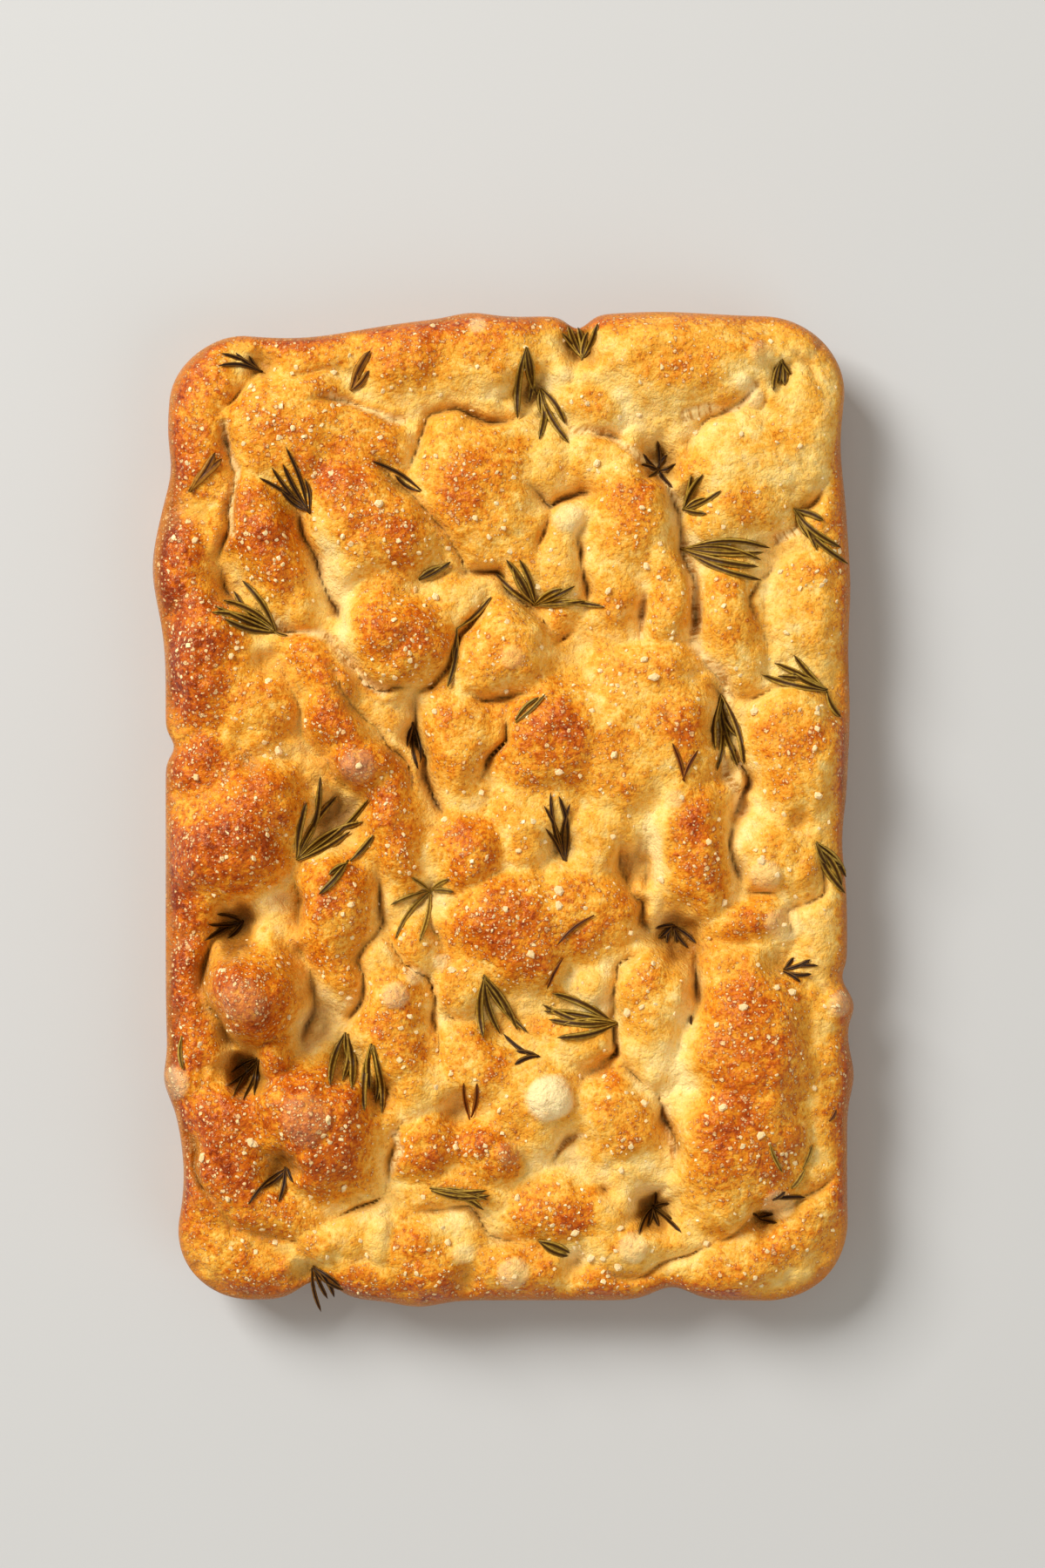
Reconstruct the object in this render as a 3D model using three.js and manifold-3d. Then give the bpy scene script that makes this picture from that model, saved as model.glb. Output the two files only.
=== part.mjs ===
// Rosemary focaccia: one slab of dimpled bread with coarse salt baked on and sprigs of rosemary pressed in.
// Millimetres. +X runs across the bread, +Y along it and +Z up; the origin is at the middle of its underside.
import * as THREE from 'three';
import { mergeVertices } from 'three/addons/utils/BufferGeometryUtils.js';
import Module from 'manifold-3d';

// Size of the slab
const WIDTH = 210;
const LENGTH = 303;
const CORNER = 26;          // plan radius of its corners
const MIDDLE_X = 1;         // where the slab's own middle lies in the plan that the tables below use
const SHOULDER = 20;        // height at which the side starts to turn over to the top
const ROUNDING = 11;        // reach of that turn, measured in from the rim
const FLOOR = 20;           // height of the dough between its pillows

// How the pillows swell and meet
const RISE_SCALE = 1.6;
const FALL = 0.62;          // how fast a pillow falls away from its middle
const FALL_POWER = 1.8;
const BLEND = 0.6;          // sharpness of the folds where pillows meet, per mm
const SKIRT_RISE = 0.5;     // a pillow also lifts the dough round it, by this share of its rise
const SKIRT_REACH = 1.5;
const SKIRT_HIGHEST = 6.5;
const FOLD_CREASE = 1.2;    // depth of the sharp part of a fold, as a share of its depth
const FOLD_DIP = 0.4;       // depth of the broad part
const PIT_DEPTH = 1.25;
const PLEATS = 0.16;        // folds that run into a pit, as a share of its depth

// Fineness of the faceted skin
const CELLS_ACROSS = 46;
const CELLS_ALONG = 68;
const RIM_DENSITY = 0.15;   // closer rows near the rim
const AVERAGING = 1.1;      // half the width over which a corner's height is averaged

// Salt
const GRAINS = 70;
const GRAIN_MIN = 2.0;
const GRAIN_MAX = 3.3;
const GRAIN_SPACING = 13.5;
const SALT_SEED = 20;

// Rosemary
const CLEARANCE = 0.35;     // air between a needle and the crust
const NEEDLE_HEIGHT = 0.9;
const WIDEST = 0.6;         // where along a needle it is widest
const BASE_TAPER = 0.55;    // width at the stem, as a share of the widest
const NARROWEST_GAP = 0.17; // radians between neighbouring needles
const SPREADING_PASSES = 12;
const SAMPLE_STEP = 1.2;    // spacing of the places where a needle's clearance is tried

// Pillows: middle x, y, half length, half width, turn in degrees, rise
const PILLOWS = [
  [-92, 119, 25, 12.5, 88, 5], [-60, 140, 18, 8, 2, 4.5], [-65, 115, 22, 19, 100, 8.5],
  [-42, 111, 13, 11, 0, 7], [-86, 84, 9, 6, 95, 5.5], [-24, 139, 19, 14, 5, 7],
  [-1, 140, 12, 14, 90, 7], [17, 138, 7, 9, 90, 5], [54, 137, 32, 16, -3, 9], [92, 120, 34, 13, 98, 6],
  [74, 107, 20, 16, 10, 8], [27, 124, 14, 6, -38, 6], [41, 145, 18, 9, 0, 6], [-8, 98, 25, 20, 105, 9],
  [14, 105, 12, 6, 80, 5.5], [27, 107, 10, 8, 60, 5.5], [40, 90, 20, 14.5, 105, 9],
  [9, 81, 12, 12, 0, 6.5], [-40, 88, 21, 17, -42, 10.5], [-35, 69, 10, 9, 0, 6.5],
  [-32, 51, 19, 14.5, 5, 11], [-74, 83, 22, 10, 112, 9], [-63, 65, 14, 5, 110, 6.5],
  [-56, 64, 12, 5, 105, 3], [-17, 63, 10, 9, 0, 5.5], [1, 48, 15.5, 15.5, 0, 10],
  [33, 68, 17, 8.5, 88, 7.5], [50, 66, 17, 8, 93, 8.5], [19, 77, 19, 7, 92, 6.5],
  [71, 58, 21, 10, 95, 8], [95, 62, 21, 12, 90, 6], [73, 91, 15, 10, 5, 7.5], [99, 87, 10, 7, 90, 4.5],
  [20, 89, 6, 6, 0, 5], [-90, 45, 21, 13, 85, 8], [-98, 73, 13, 10, 80, 5], [-74, 31, 16, 13, 90, 7],
  [-90, 11, 11, 12, 0, 5.5], [-73, 4, 13, 12, 20, 10], [-83, -11, 17, 16, 60, 11],
  [-53, 32, 22, 8, -60, 9.5], [-44, 14, 8.5, 8.5, 0, 9.5], [-34, -3, 19, 8.5, -80, 8.5],
  [-42, 31, 11, 7, -30, 4.5], [-13, 20, 18, 12.5, 95, 8], [15, 22, 18, 17, 0, 10],
  [37, 18, 26, 15, 90, 9], [52, 21, 22, 13, 95, 9], [9, -1, 12, 13, 0, 7], [59, -12, 22, 13, 95, 9.5],
  [47, 44, 12, 8, 0, 8], [91, 17, 21, 15.5, 95, 8.5], [84, -16, 14, 12, 90, 7],
  [75, -12, 13, 4.5, 90, 4.5], [99, -6, 9, 7, 90, 4.5], [-11, -13, 11.5, 10.5, 90, 9],
  [2, -37, 19, 18, 0, 10], [25, -33, 15, 14, 0, 8.5], [8, -10, 10, 10, 0, 7], [28, -10, 12, 10, 90, 7],
  [-52, -30, 17, 13, 70, 9.5], [-52, -46, 10, 7, 100, 7], [-95, -27, 12, 9, 90, 4.5],
  [-95, -53, 13, 9, 90, 4.5], [-76, -56, 14.5, 13, 90, 16.5], [-68, -76, 9, 6.5, 100, 10],
  [-56, -98, 21, 17.5, -25, 13], [-67, -92, 12, 11, 0, 11], [-85, -106, 23, 13, 97, 8],
  [-73, -122, 17, 9, -12, 6.5], [-97, -116, 18, 6, -78, 3.5], [-80, -138, 18, 8, -28, 4.5],
  [-98, -83, 7, 6.5, 0, 5], [-95, -70, 9, 8, 0, 4], [-25, -43, 10.5, 7, 82, 7],
  [-34, -68, 22, 12.5, 98, 8.5], [-38, -45, 8, 7, 0, 5.5], [-12, -55, 9.5, 9, 0, 6.5],
  [-7, -78, 15, 11, -50, 8], [10, -90, 16, 13, 90, 8.5], [22, -71, 13, 8.5, -15, 7],
  [29, -55, 7.5, 7, 0, 6.5], [46, -58, 18, 11, 95, 9], [45, -77, 11, 9, 0, 7],
  [76, -72, 25, 18.5, 90, 12], [72, -100, 23, 20, 80, 12], [67, -117, 15, 13, 0, 9],
  [75, -35, 15, 7.5, 0, 7], [73, -48, 14, 8, 0, 7.5], [98, -36, 16, 9, 90, 5.5],
  [103, -61, 7, 6.5, 0, 5], [100, -88, 20, 8, 90, 5.5], [94, -122, 19, 11, 60, 6],
  [74, -138, 22, 9.5, 14, 6.5], [-24, -104, 11.5, 9.5, 90, 8.5], [-5, -105, 11.5, 9.5, 0, 8.5],
  [-15, -118, 16, 6.5, 0, 6], [-25, -86, 12, 9, 0, 6.5], [34, -95, 15, 11.5, -35, 8.5],
  [18, -123, 19, 10.5, 0, 7.5], [34, -123, 6.5, 6.5, 0, 7], [42, -108, 11, 9, 0, 5.5],
  [37, -134, 14, 9, -8, 6.5], [55, -131, 9, 10, 0, 5], [3, -142, 17, 10, 0, 5.5],
  [-23, -138, 14, 12, -20, 7], [-14, -130, 10, 6, 0, 5], [-48, -131, 12, 8.5, 20, 6],
  [-57, -133, 7.5, 7.5, 0, 6.5], [-42, -145, 15, 7, -3, 5], [-37, -134, 5.5, 6.5, 0, 7],
  [33, -146, 18, 6, 2, 5],
];

// Folds between pillows: depth, half width, line of the fold
const GROOVES = [
  [4, 2.5, [[-84, 119], [-85, 110], [-84, 97], [-85, 88], [-88, 75], [-84, 66], [-73, 58], [-62, 52]]],
  [2, 2, [[-70, 134.5], [-58, 134.5], [-46, 132]]],
  [2.5, 2, [[-58, 126], [-46, 123], [-34, 119.5], [-29, 117]]],
  [4, 2, [[-29, 104], [-27, 113], [-22, 119], [-14, 122], [4, 121]]],
  [4, 1.8, [[-41, 107], [-27, 98], [-19, 85], [-12, 71.5], [-2, 71], [6, 65], [13, 58], [17, 52]]],
  [4, 1.8, [[-4, 65], [-14, 56], [-16, 45], [-19, 38], [-25, 36]]],
  [5, 2.6, [[-25, 36], [-27.5, 25], [-25, 11], [-20, 0], [-17, -6]]],
  [4, 1.8, [[-9, 37], [-5, 32.5], [1, 31], [8, 33]]], [3.5, 1.6, [[1, 31], [0, 20], [-6, 8]]],
  [4.5, 2.4, [[-62, 93], [-60, 83], [-57, 72], [-51, 62], [-50, 55]]],
  [4, 2.2, [[-53, 50], [-44, 40], [-36, 38], [-28, 38]]],
  [4.6, 2.8, [[-87, -41], [-91.5, -51], [-91, -62], [-85, -71], [-79, -74]]],
  [4, 2.4, [[-70, 47], [-64, 34], [-59, 21], [-51, 9], [-45, 1]]],
  [3.5, 2, [[-57, 43], [-48, 33], [-39, 25], [-32, 15], [-28, 4]]],
  [4, 2.2, [[-66, -22], [-65, -33], [-63, -41]]],
  [3.8, 2.8, [[-64, -40], [-60, -49], [-60, -60], [-61, -68], [-57, -76]]],
  [3.5, 2, [[-38, -18], [-36, -34], [-44, -43], [-45, -53], [-48, -68]]],
  [3, 1.6, [[-35, -38], [-31, -49], [-23, -53.5], [-20, -60], [-19, -78]]],
  [2.5, 1.6, [[-20, -60], [-12, -64], [-5, -64]]], [2.5, 1.6, [[-22, -32], [-17, -46]]],
  [3, 2, [[-98, -97], [-90, -116], [-80, -129], [-66, -133], [-58, -142]]],
  [3, 1.8, [[-57, -125], [-46, -123], [-34, -121]]], [3, 2, [[-31, -97], [-33, -110], [-36, -119]]],
  [3, 2, [[-26, -122.5], [-12, -123], [-5, -130], [9, -135]]], [4, 1.8, [[23, -97], [15, -109]]],
  [2, 1.8, [[30, -143.5], [45, -143], [63, -133.5]]], [3, 1.8, [[30, -112], [37, -121]]],
  [4, 2.2, [[48, -87], [48, -94], [53, -103], [53, -110]]], [4, 2.2, [[60, -44], [58, -58], [57, -66]]],
  [4, 1.8, [[45, -40], [38, -47], [34, -60], [35, -77], [29, -79]]], [3, 1.8, [[36, -79], [47, -87]]],
  [4, 2, [[36, -8], [36, -20], [41, -27], [41, -33], [46, -39]]],
  [3, 2, [[44, -12], [44, -20], [41, -27]]], [2, 1.5, [[62, -42.5], [82, -40.5]]],
  [2.5, 1.6, [[90, -41], [89, -33], [97, -26], [96, -17]]],
  [4, 2.2, [[61, 38], [66, 31], [71, 19], [74, 6], [72, -2], [72, -14], [72, -25]]],
  [2.5, 1.8, [[72, -25], [79, -27], [86, -29.5]]],
  [3, 2, [[56, 50], [64, 40], [70, 33], [82, 36], [90, 38]]],
  [4, 2.2, [[50, 102], [56, 91], [55, 78], [58, 66], [59, 52]]],
  [3, 2, [[42, 108], [34, 113], [27, 116]]],
  [2.5, 1.8, [[55, 106], [57, 114], [64, 121], [72, 125], [79, 131]]],
  [4, 1.6, [[8, 97.5], [14, 91.5], [21, 97], [29, 99]]], [3.5, 1.6, [[14, 91.5], [13, 80]]],
  [4, 1.6, [[24, 85], [25, 72], [25.5, 61]]], [4, 1.6, [[41, 63], [43, 54]]],
  [3, 1.6, [[49, 34], [52, 28]]], [3, 1.8, [[82, 72], [77, 65], [81, 57], [81, 45]]],
  [3, 2, [[83, 80], [91, 90], [101, 98]]], [2.5, 1.6, [[29, 47], [35, 46]]],
  [3.5, 1.8, [[14, 50], [23, 54]]], [2.5, 1.8, [[88, 142], [95, 136], [100, 127]]],
  [3, 2, [[6, 122], [13, 121], [22, 115]]], [3, 1.8, [[-77, 132], [-86, 122]]],
  [3, 2, [[63, -133], [76, -127], [88, -121], [98, -112]]],
];

// Finger dimples and holes: middle x, y, reach, depth
const PITS = [
  [-74, 136, 5, 5], [24, 142, 6, 8], [86, 133, 4, 3.5], [8, 128, 6, 5], [-84, 67, 7, 3],
  [48, 106, 6.5, 7], [57, 95, 4.5, 4], [67, 24, 5.5, 6], [68, 12, 4.5, 4], [-73, 44, 4.5, 3.5],
  [-77, 14, 4.5, 4], [-51, -3, 9, 6], [-65, -29, 3.5, 3], [-81.5, -34.5, 5.8, 9.5], [-83, -42, 5.5, 6],
  [-79.5, -81.5, 6, 12], [-67, -109, 5.5, 6.5], [-38, -88, 5, 6], [-48, -79, 6, 5], [-56, -66, 7, 3],
  [-14, -93, 5, 4], [22, -141, 4.5, 3], [-12, -145, 4.5, 3], [46.5, -124, 6, 9.5], [54, -39, 8.5, 8.5],
  [40, -17, 6, 4.5], [85, -48, 4.5, 4], [80, -126, 5, 5], [18, -12, 5, 4.5], [0, -67, 5, 3],
  [10, 62, 5, 2.5], [-60, -143, 4, 4], [29, -80, 4, 3], [84, 79, 5, 3], [22, 51, 7, 2.5],
  [20, -101, 3, 2], [-28, 22, 4, 2.5], [74, 0, 3.5, 3], [58, -56, 3.5, 2.5], [91, -4, 3, 2.5],
  [-24, -27, 4, 3],
];

// Blisters: middle x, y, reach, rise
const BLISTERS = [
  [14, -88, 7.5, 3.2], [3, 46, 4, 1.5], [-44, 13, 6, 2.2], [-33, -57, 4.5, 2], [86, -35, 6, 2],
  [80, -20, 5.5, 2], [103, -60, 4.5, 1.6], [-101, -84, 5.5, 2], [-60, -94, 8, 2], [2, -105, 4, 2],
  [-27, -51, 2.8, 1.3], [-19, -47, 2.8, 1.3], [19, 133, 2.6, 1.2], [77, 126, 3, 1.2], [73, 130, 3, 1.2],
  [79, 139, 4, 1.4], [52, 3, 3.5, 1.2], [20, 89, 5, 2], [-12, -136, 4, 1.6], [3, -142, 5, 1.8],
  [40, -134, 5, 1.8], [84, -121, 5.5, 2], [-78, -58, 7, 1.4], [-36, 54, 6, 1.5], [-72, 86, 5, 1.2],
  [-80, -8, 6, 1.2], [-8, 148, 3, 1], [30, -60, 4, 1],
];

// Where the rim swells or draws in: x, y, reach, push outwards
const BULGES = [
  [-104, 74, 17, 4], [-104, -113, 26, -5.5], [-104, 104, 9, -1.5], [-104, 19, 4, -2.5],
  [-104, -84, 7, 2], [106, 68, 14, 1], [106, -10, 12, -1.5], [106, -61, 5, 2], [106, -52, 4, -1.5],
  [106, -82, 8, 2], [106, 112, 16, -2], [-66, 151.5, 32, -6.5], [23, 151.5, 4.5, -4],
  [48, 151.5, 22, 1.5], [-57, -151.5, 8, -6], [-26, -151.5, 9, 2], [52, -151.5, 8, -4],
  [-10, 151.5, 8, 1.5], [98, -142, 14, 1], [-92, 140, 14, -2], [106, 30, 16, 0.8],
];

// The side below the rim: height, distance drawn in
const SIDE_RINGS = [[11, 1], [2.4, 2.4], [0, 5]];

// Rosemary: kind of leaf, joint of the needles, their tips; a bare end of stem counts as a tip
const SPRIGS = [
  ['dark', [-74, 134.5], [[-86.5, 139.5], [-82, 139.8], [-87, 135.5], [-78, 139]]],
  ['broad', [-46.5, 128], [[-45, 136], [-40.5, 140], [-41, 134]]],
  ['olive', [7.5, 141], [[4.5, 119.5], [8, 125], [10.5, 127]]],
  ['olive', [11.5, 129], [[12, 121], [11, 113], [20, 112], [19, 118]]],
  ['olive', [24.5, 138], [[18, 146], [20, 148.5], [23, 148], [26, 146.5], [29, 148.5]]],
  ['olive', [85, 137], [[84.5, 130], [86, 129.5], [82.5, 127.5], [88, 133]]],
  ['broad', [-96, 97], [[-88, 109], [-86, 107]]],
  ['dark', [-59, 90.5], [[-66, 110], [-70.5, 104], [-74.5, 101], [-67, 105], [-60.3, 100.5], [-68, 97.5]]],
  ['dark', [-25, 97], [[-40, 106], [-33, 102]]],
  ['dark', [48, 104.5], [[47.5, 113], [43, 109], [42.5, 105.5], [44.5, 101.5], [52, 98.5], [50.5, 109],
    [53, 106]]],
  ['olive', [55.5, 91.5], [[57.5, 102], [61, 102], [66.5, 97], [62, 95], [62, 90]]],
  ['olive', [55, 79.5], [[80, 78.5], [79, 76], [78, 74], [82, 80], [79, 70]]],
  ['olive', [89.5, 91.5], [[103.5, 80], [98, 88], [93.5, 83], [96, 79], [106, 75]]],
  ['olive', [9.5, 62.5], [[22, 68], [31, 61.5], [25, 63.5], [18, 67], [5, 76], [3, 74], [1, 76],
    [-2.5, 72.5]]],
  ['olive', [-26, 70], [[-16, 75.5], [-18, 74]]],
  ['olive', [-14, 54.5], [[-3.5, 65], [-17, 37], [-15, 45]]],
  ['olive', [-70, 54.5], [[-66, 53], [-85, 58], [-89, 60], [-88, 62], [-86, 64], [-83, 67], [-80, 70]]],
  ['olive', [99, 36], [[103.5, 28], [88, 42], [84, 40.5], [89, 47], [83, 44.5], [79, 41]]],
  ['olive', [67, 34.5], [[65, 18], [65.5, 11.5], [72, 13], [74, 13.5], [72, 22], [64.5, 25]]],
  ['dark', [-28, 26.5], [[-26, 12], [-25.5, 14], [-29.5, 19]]],
  ['pale', [4, 26.5], [[13, 35], [11, 34]]],
  ['brown', [55, 8.5], [[51.5, 20], [59.5, 18]]],
  ['olive', [-63, -15.5], [[-56, 10], [-51, 4], [-41, 3], [-43, -4], [-47, -7], [-60, 2]]],
  ['olive', [-47, -16], [[-39.5, -8], [-56, -26], [-53, -20]]],
  ['dark', [19, -16], [[12.5, 1], [14.5, 5], [17, 4], [20.5, 1.5], [13, -6]]],
  ['pale', [-22, -25], [[-28, -21], [-15, -25.5], [-34.5, -29.5], [-16.5, -21.5], [-33, -40],
    [-25.5, -40.5]]],
  ['olive', [96, -10.5], [[104, -17.5], [105.5, -21], [105, -26], [104, -24], [99, -17]]],
  ['dark', [-80.5, -35], [[-88, -32.5], [-90.5, -35.5], [-91.5, -40.5], [-85, -40], [-86, -37.5]]],
  ['brown', [28, -32.5], [[16.5, -41.5]]],
  ['brown', [18.5, -45.5], [[13.5, -55]]],
  ['dark', [52.5, -36], [[47, -37], [48, -40], [50.5, -41.5], [53.5, -41.5], [57, -43], [59.5, -41.5]]],
  ['dark', [86, -49.5], [[94, -46], [96.5, -48], [94.5, -50.5], [91, -53], [89, -45.5]]],
  ['olive', [-6, -51], [[7.5, -68.5], [4.5, -68], [-1, -69], [2, -64], [-6, -70]]],
  ['dark', [11, -75.5], [[3.5, -78], [0, -69], [4, -74]]],
  ['olive', [34.5, -66], [[15, -56.5], [12, -60], [12.5, -62], [14, -64.5], [18, -66], [16.5, -69.7]]],
  ['dark', [-75, -76.5], [[-84, -81.5], [-84.5, -85], [-82.5, -88], [-79.5, -89], [-76, -87.5]]],
  ['olive', [-48, -69], [[-52.5, -84], [-46, -85], [-45, -81], [-49, -83]]],
  ['olive', [-40, -72], [[-42, -92], [-37, -93], [-41, -86], [-39, -90]]],
  ['brown', [-10, -95], [[-8, -83.5], [-12, -83.5]]],
  ['dark', [-66.5, -110], [[-77.5, -120.5], [-68.5, -120], [-64, -114], [-74, -116]]],
  ['olive', [-22, -116], [[-4, -118], [-4.5, -119.5], [-5, -116.5], [-6, -122.5]]],
  ['olive', [11, -132.5], [[20, -137], [20.5, -136]]],
  ['dark', [46.5, -123], [[41.5, -130], [44.5, -128.5], [48, -128.5], [54.5, -129.5], [52, -126],
    [51, -121.5], [47, -118]]],
  ['pale', [80.5, -101.5], [[85, -110.5]]],
  ['pale', [92, -110], [[94.5, -102.5], [88, -116]]],
  ['dark', [82, -119], [[86, -116.5], [92.5, -119]]],
  ['dark', [79, -126], [[84, -127], [83, -124.5], [76.5, -124]]],
  ['dark', [-58.5, -141], [[-56, -155], [-52, -150.5], [-49, -148], [-50, -146.5], [-54, -151]]],
  ['pale', [-99, -70], [[-98, -80]]],
  ['brown', [100, -96], [[102, -92]]],
  ['dark', [58, -63], [[57.5, -66]]],
];

const LEAVES = {
  olive: { width: 1.5, color: '#5e5a2c' },
  dark: { width: 1.3, color: '#2e2118' },
  brown: { width: 1.3, color: '#5c3218' },
  pale: { width: 1.3, color: '#7a6a2e' },
  broad: { width: 2.6, color: '#7a4a1e' },
};

const wasm = await Module();
wasm.setup();

// A seeded draw between 0 and 1
function makeRandom(seed) {
  let state = seed;
  return () => {
    state = (state * 1664525 + 1013904223) % 4294967296;
    return state / 4294967296;
  };
}

// A slow wander that keeps pillows and grooves from being true ellipses and straight lines
function wander(x, y) {
  const alongX = 1.3 * Math.sin(0.11 * x + 0.07 * y + 1.3) + 0.9 * Math.sin(0.19 * y - 0.05 * x + 0.4)
    + 0.5 * Math.sin(0.31 * x + 0.23 * y);
  const alongY = 1.3 * Math.sin(0.1 * y - 0.08 * x + 2.1) + 0.9 * Math.sin(0.21 * x + 0.06 * y + 1.7)
    + 0.5 * Math.sin(0.33 * y - 0.21 * x);
  return [x + alongX, y + alongY];
}

function draw(column, row, seed) {
  const n = Math.sin(column * 127.1 + row * 311.7 + seed * 74.7) * 43758.5453;
  return n - Math.floor(n);
}

// Smooth unevenness between -1 and 1 with swellings of that size; each seed turns its lattice
function noise(x, y, size, seed) {
  const turn = 0.6 + 1.3 * seed;
  const u = (x * Math.cos(turn) - y * Math.sin(turn)) / size + 0.37 * seed;
  const v = (x * Math.sin(turn) + y * Math.cos(turn)) / size - 0.21 * seed;
  const [column, row] = [Math.floor(u), Math.floor(v)];
  const [a, b] = [u - column, v - row].map((t) => t * t * (3 - 2 * t));
  const near = THREE.MathUtils.lerp(draw(column, row, seed), draw(column + 1, row, seed), a);
  const far = THREE.MathUtils.lerp(draw(column, row + 1, seed), draw(column + 1, row + 1, seed), a);
  return 2 * THREE.MathUtils.lerp(near, far, b) - 1;
}

// How much higher the swollen pillows stand than the dough between them
function pillowRise(x, y, skirtRise = 0) {
  let total = 1;
  for (const [cx, cy, halfLength, halfWidth, turn, rise] of PILLOWS) {
    const angle = THREE.MathUtils.degToRad(turn);
    const along = (x - cx) * Math.cos(angle) + (y - cy) * Math.sin(angle);
    const across = (y - cy) * Math.cos(angle) - (x - cx) * Math.sin(angle);
    const reach = (along / halfLength) ** 2 + (across / halfWidth) ** 2;
    const crown = Math.exp(-FALL * reach ** FALL_POWER);
    const spread = Math.exp(-FALL * (reach / SKIRT_REACH ** 2) ** FALL_POWER);
    const skirt = Math.min(skirtRise * RISE_SCALE * rise, SKIRT_HIGHEST);
    total += Math.exp(BLEND * RISE_SCALE * rise * crown) - 1;
    total += Math.exp(BLEND * skirt * spread) - 1;
  }
  return Math.log(total) / BLEND;
}

function distanceToLine(x, y, line) {
  let nearest = Infinity;
  for (let i = 1; i < line.length; i += 1) {
    const [x0, y0] = line[i - 1];
    const dx = line[i][0] - x0;
    const dy = line[i][1] - y0;
    const t = THREE.MathUtils.clamp(((x - x0) * dx + (y - y0) * dy) / (dx * dx + dy * dy), 0, 1);
    nearest = Math.min(nearest, Math.hypot(x - x0 - t * dx, y - y0 - t * dy));
  }
  return nearest;
}

function grooveCut(x, y) {
  let cut = 0;
  for (const [depth, halfWidth, line] of GROOVES) {
    const away = distanceToLine(x, y, line) / halfWidth;
    const ends = [line[0], line[line.length - 1]].map(([ex, ey]) => Math.hypot(x - ex, y - ey));
    const tapered = 0.35 + 0.65 * THREE.MathUtils.smoothstep(Math.min(...ends), 0, 7);
    const crease = FOLD_CREASE * Math.exp(-((away / 0.6) ** 1.3)) + FOLD_DIP * Math.exp(-((away / 1.7) ** 2));
    cut = Math.max(cut, depth * tapered * crease);
  }
  return cut;
}

function pitCut(x, y) {
  let cut = 0;
  PITS.forEach(([cx, cy, reach, depth], count) => {
    const away = (Math.hypot(x - cx, y - cy) / reach) * (1 + 0.18 * noise(x, y, 4, 41));
    const round = Math.atan2(y - cy, x - cx) + 0.35 * noise(x, y, 7, 42);
    const pleats = Math.sin((5 + (count % 3)) * round + count) * away * Math.exp(-0.7 * away ** 2);
    cut += depth * (PIT_DEPTH * Math.exp(-(away ** 2.6)) + PLEATS * pleats);
  });
  return cut;
}

// The height of the top before its edge turns down
function relief(x, y) {
  const [wx, wy] = wander(x, y);
  const raggedX = 1.5 * noise(x, y, 9.5, 91) + 0.8 * noise(x, y, 4.6, 93);
  const raggedY = 1.5 * noise(x, y, 9.5, 92) + 0.8 * noise(x, y, 4.6, 94);
  let height = FLOOR + pillowRise(wx + raggedX, wy + raggedY, SKIRT_RISE) - grooveCut(wx, wy);
  height -= pitCut(x, y);
  for (const [cx, cy, reach, rise] of BLISTERS) {
    height += rise * Math.max(0, 1 - ((x - cx) ** 2 + (y - cy) ** 2) / reach ** 2) ** 0.6;
  }
  return height;
}

function averagedRelief(x, y) {
  const a = AVERAGING;
  const around = relief(x - a, y) + relief(x + a, y) + relief(x, y - a) + relief(x, y + a);
  return (around + 2 * relief(x, y)) / 6;
}

// Carries a point on the edge of the plain rectangle to the slab's rim
function rimPoint(x, y) {
  const cornerX = WIDTH / 2 - CORNER;
  const cornerY = LENGTH / 2 - CORNER;
  const outX = Math.max(0, Math.abs(x) - cornerX) * Math.sign(x);
  const outY = Math.max(0, Math.abs(y) - cornerY) * Math.sign(y);
  const normal = new THREE.Vector2(x, y);
  if (outX !== 0 && outY !== 0) {
    normal.set(outX, outY);
  } else {
    normal.set(outX !== 0 ? Math.sign(x) : 0, outY !== 0 ? Math.sign(y) : 0);
  }
  normal.normalize();
  const onCorner = outX !== 0 && outY !== 0;
  const px = onCorner ? Math.sign(x) * cornerX + CORNER * normal.x : x;
  const py = onCorner ? Math.sign(y) * cornerY + CORNER * normal.y : y;
  let push = 0;
  for (const [cx, cy, reach, amount] of BULGES) {
    push += amount * Math.exp(-((px + MIDDLE_X - cx) ** 2 + (py - cy) ** 2) / reach ** 2);
  }
  return [px + normal.x * push, py + normal.y * push];
}

// Spreads a square of side 2 over the slab's plan
function planPoint(u, v) {
  const outward = Math.max(Math.abs(u), Math.abs(v), 1e-6);
  const edgeX = (u / outward) * (WIDTH / 2);
  const edgeY = (v / outward) * (LENGTH / 2);
  const [rimX, rimY] = rimPoint(edgeX, edgeY);
  const pull = outward ** 6;
  return [(u * WIDTH) / 2 + pull * (rimX - edgeX) + MIDDLE_X, (v * LENGTH) / 2 + pull * (rimY - edgeY)];
}

// 0 at the rim, rising to 1 like a quarter of an ellipse
function turnOver(fraction, halfSize) {
  const inward = Math.min(1, ((1 - Math.abs(fraction)) * halfSize) / ROUNDING);
  return Math.sqrt(1 - (1 - inward) ** 2);
}

function spaced(step, steps) {
  const t = (2 * step) / steps - 1;
  return t * (1 + RIM_DENSITY * (1 - t * t));
}

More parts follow.
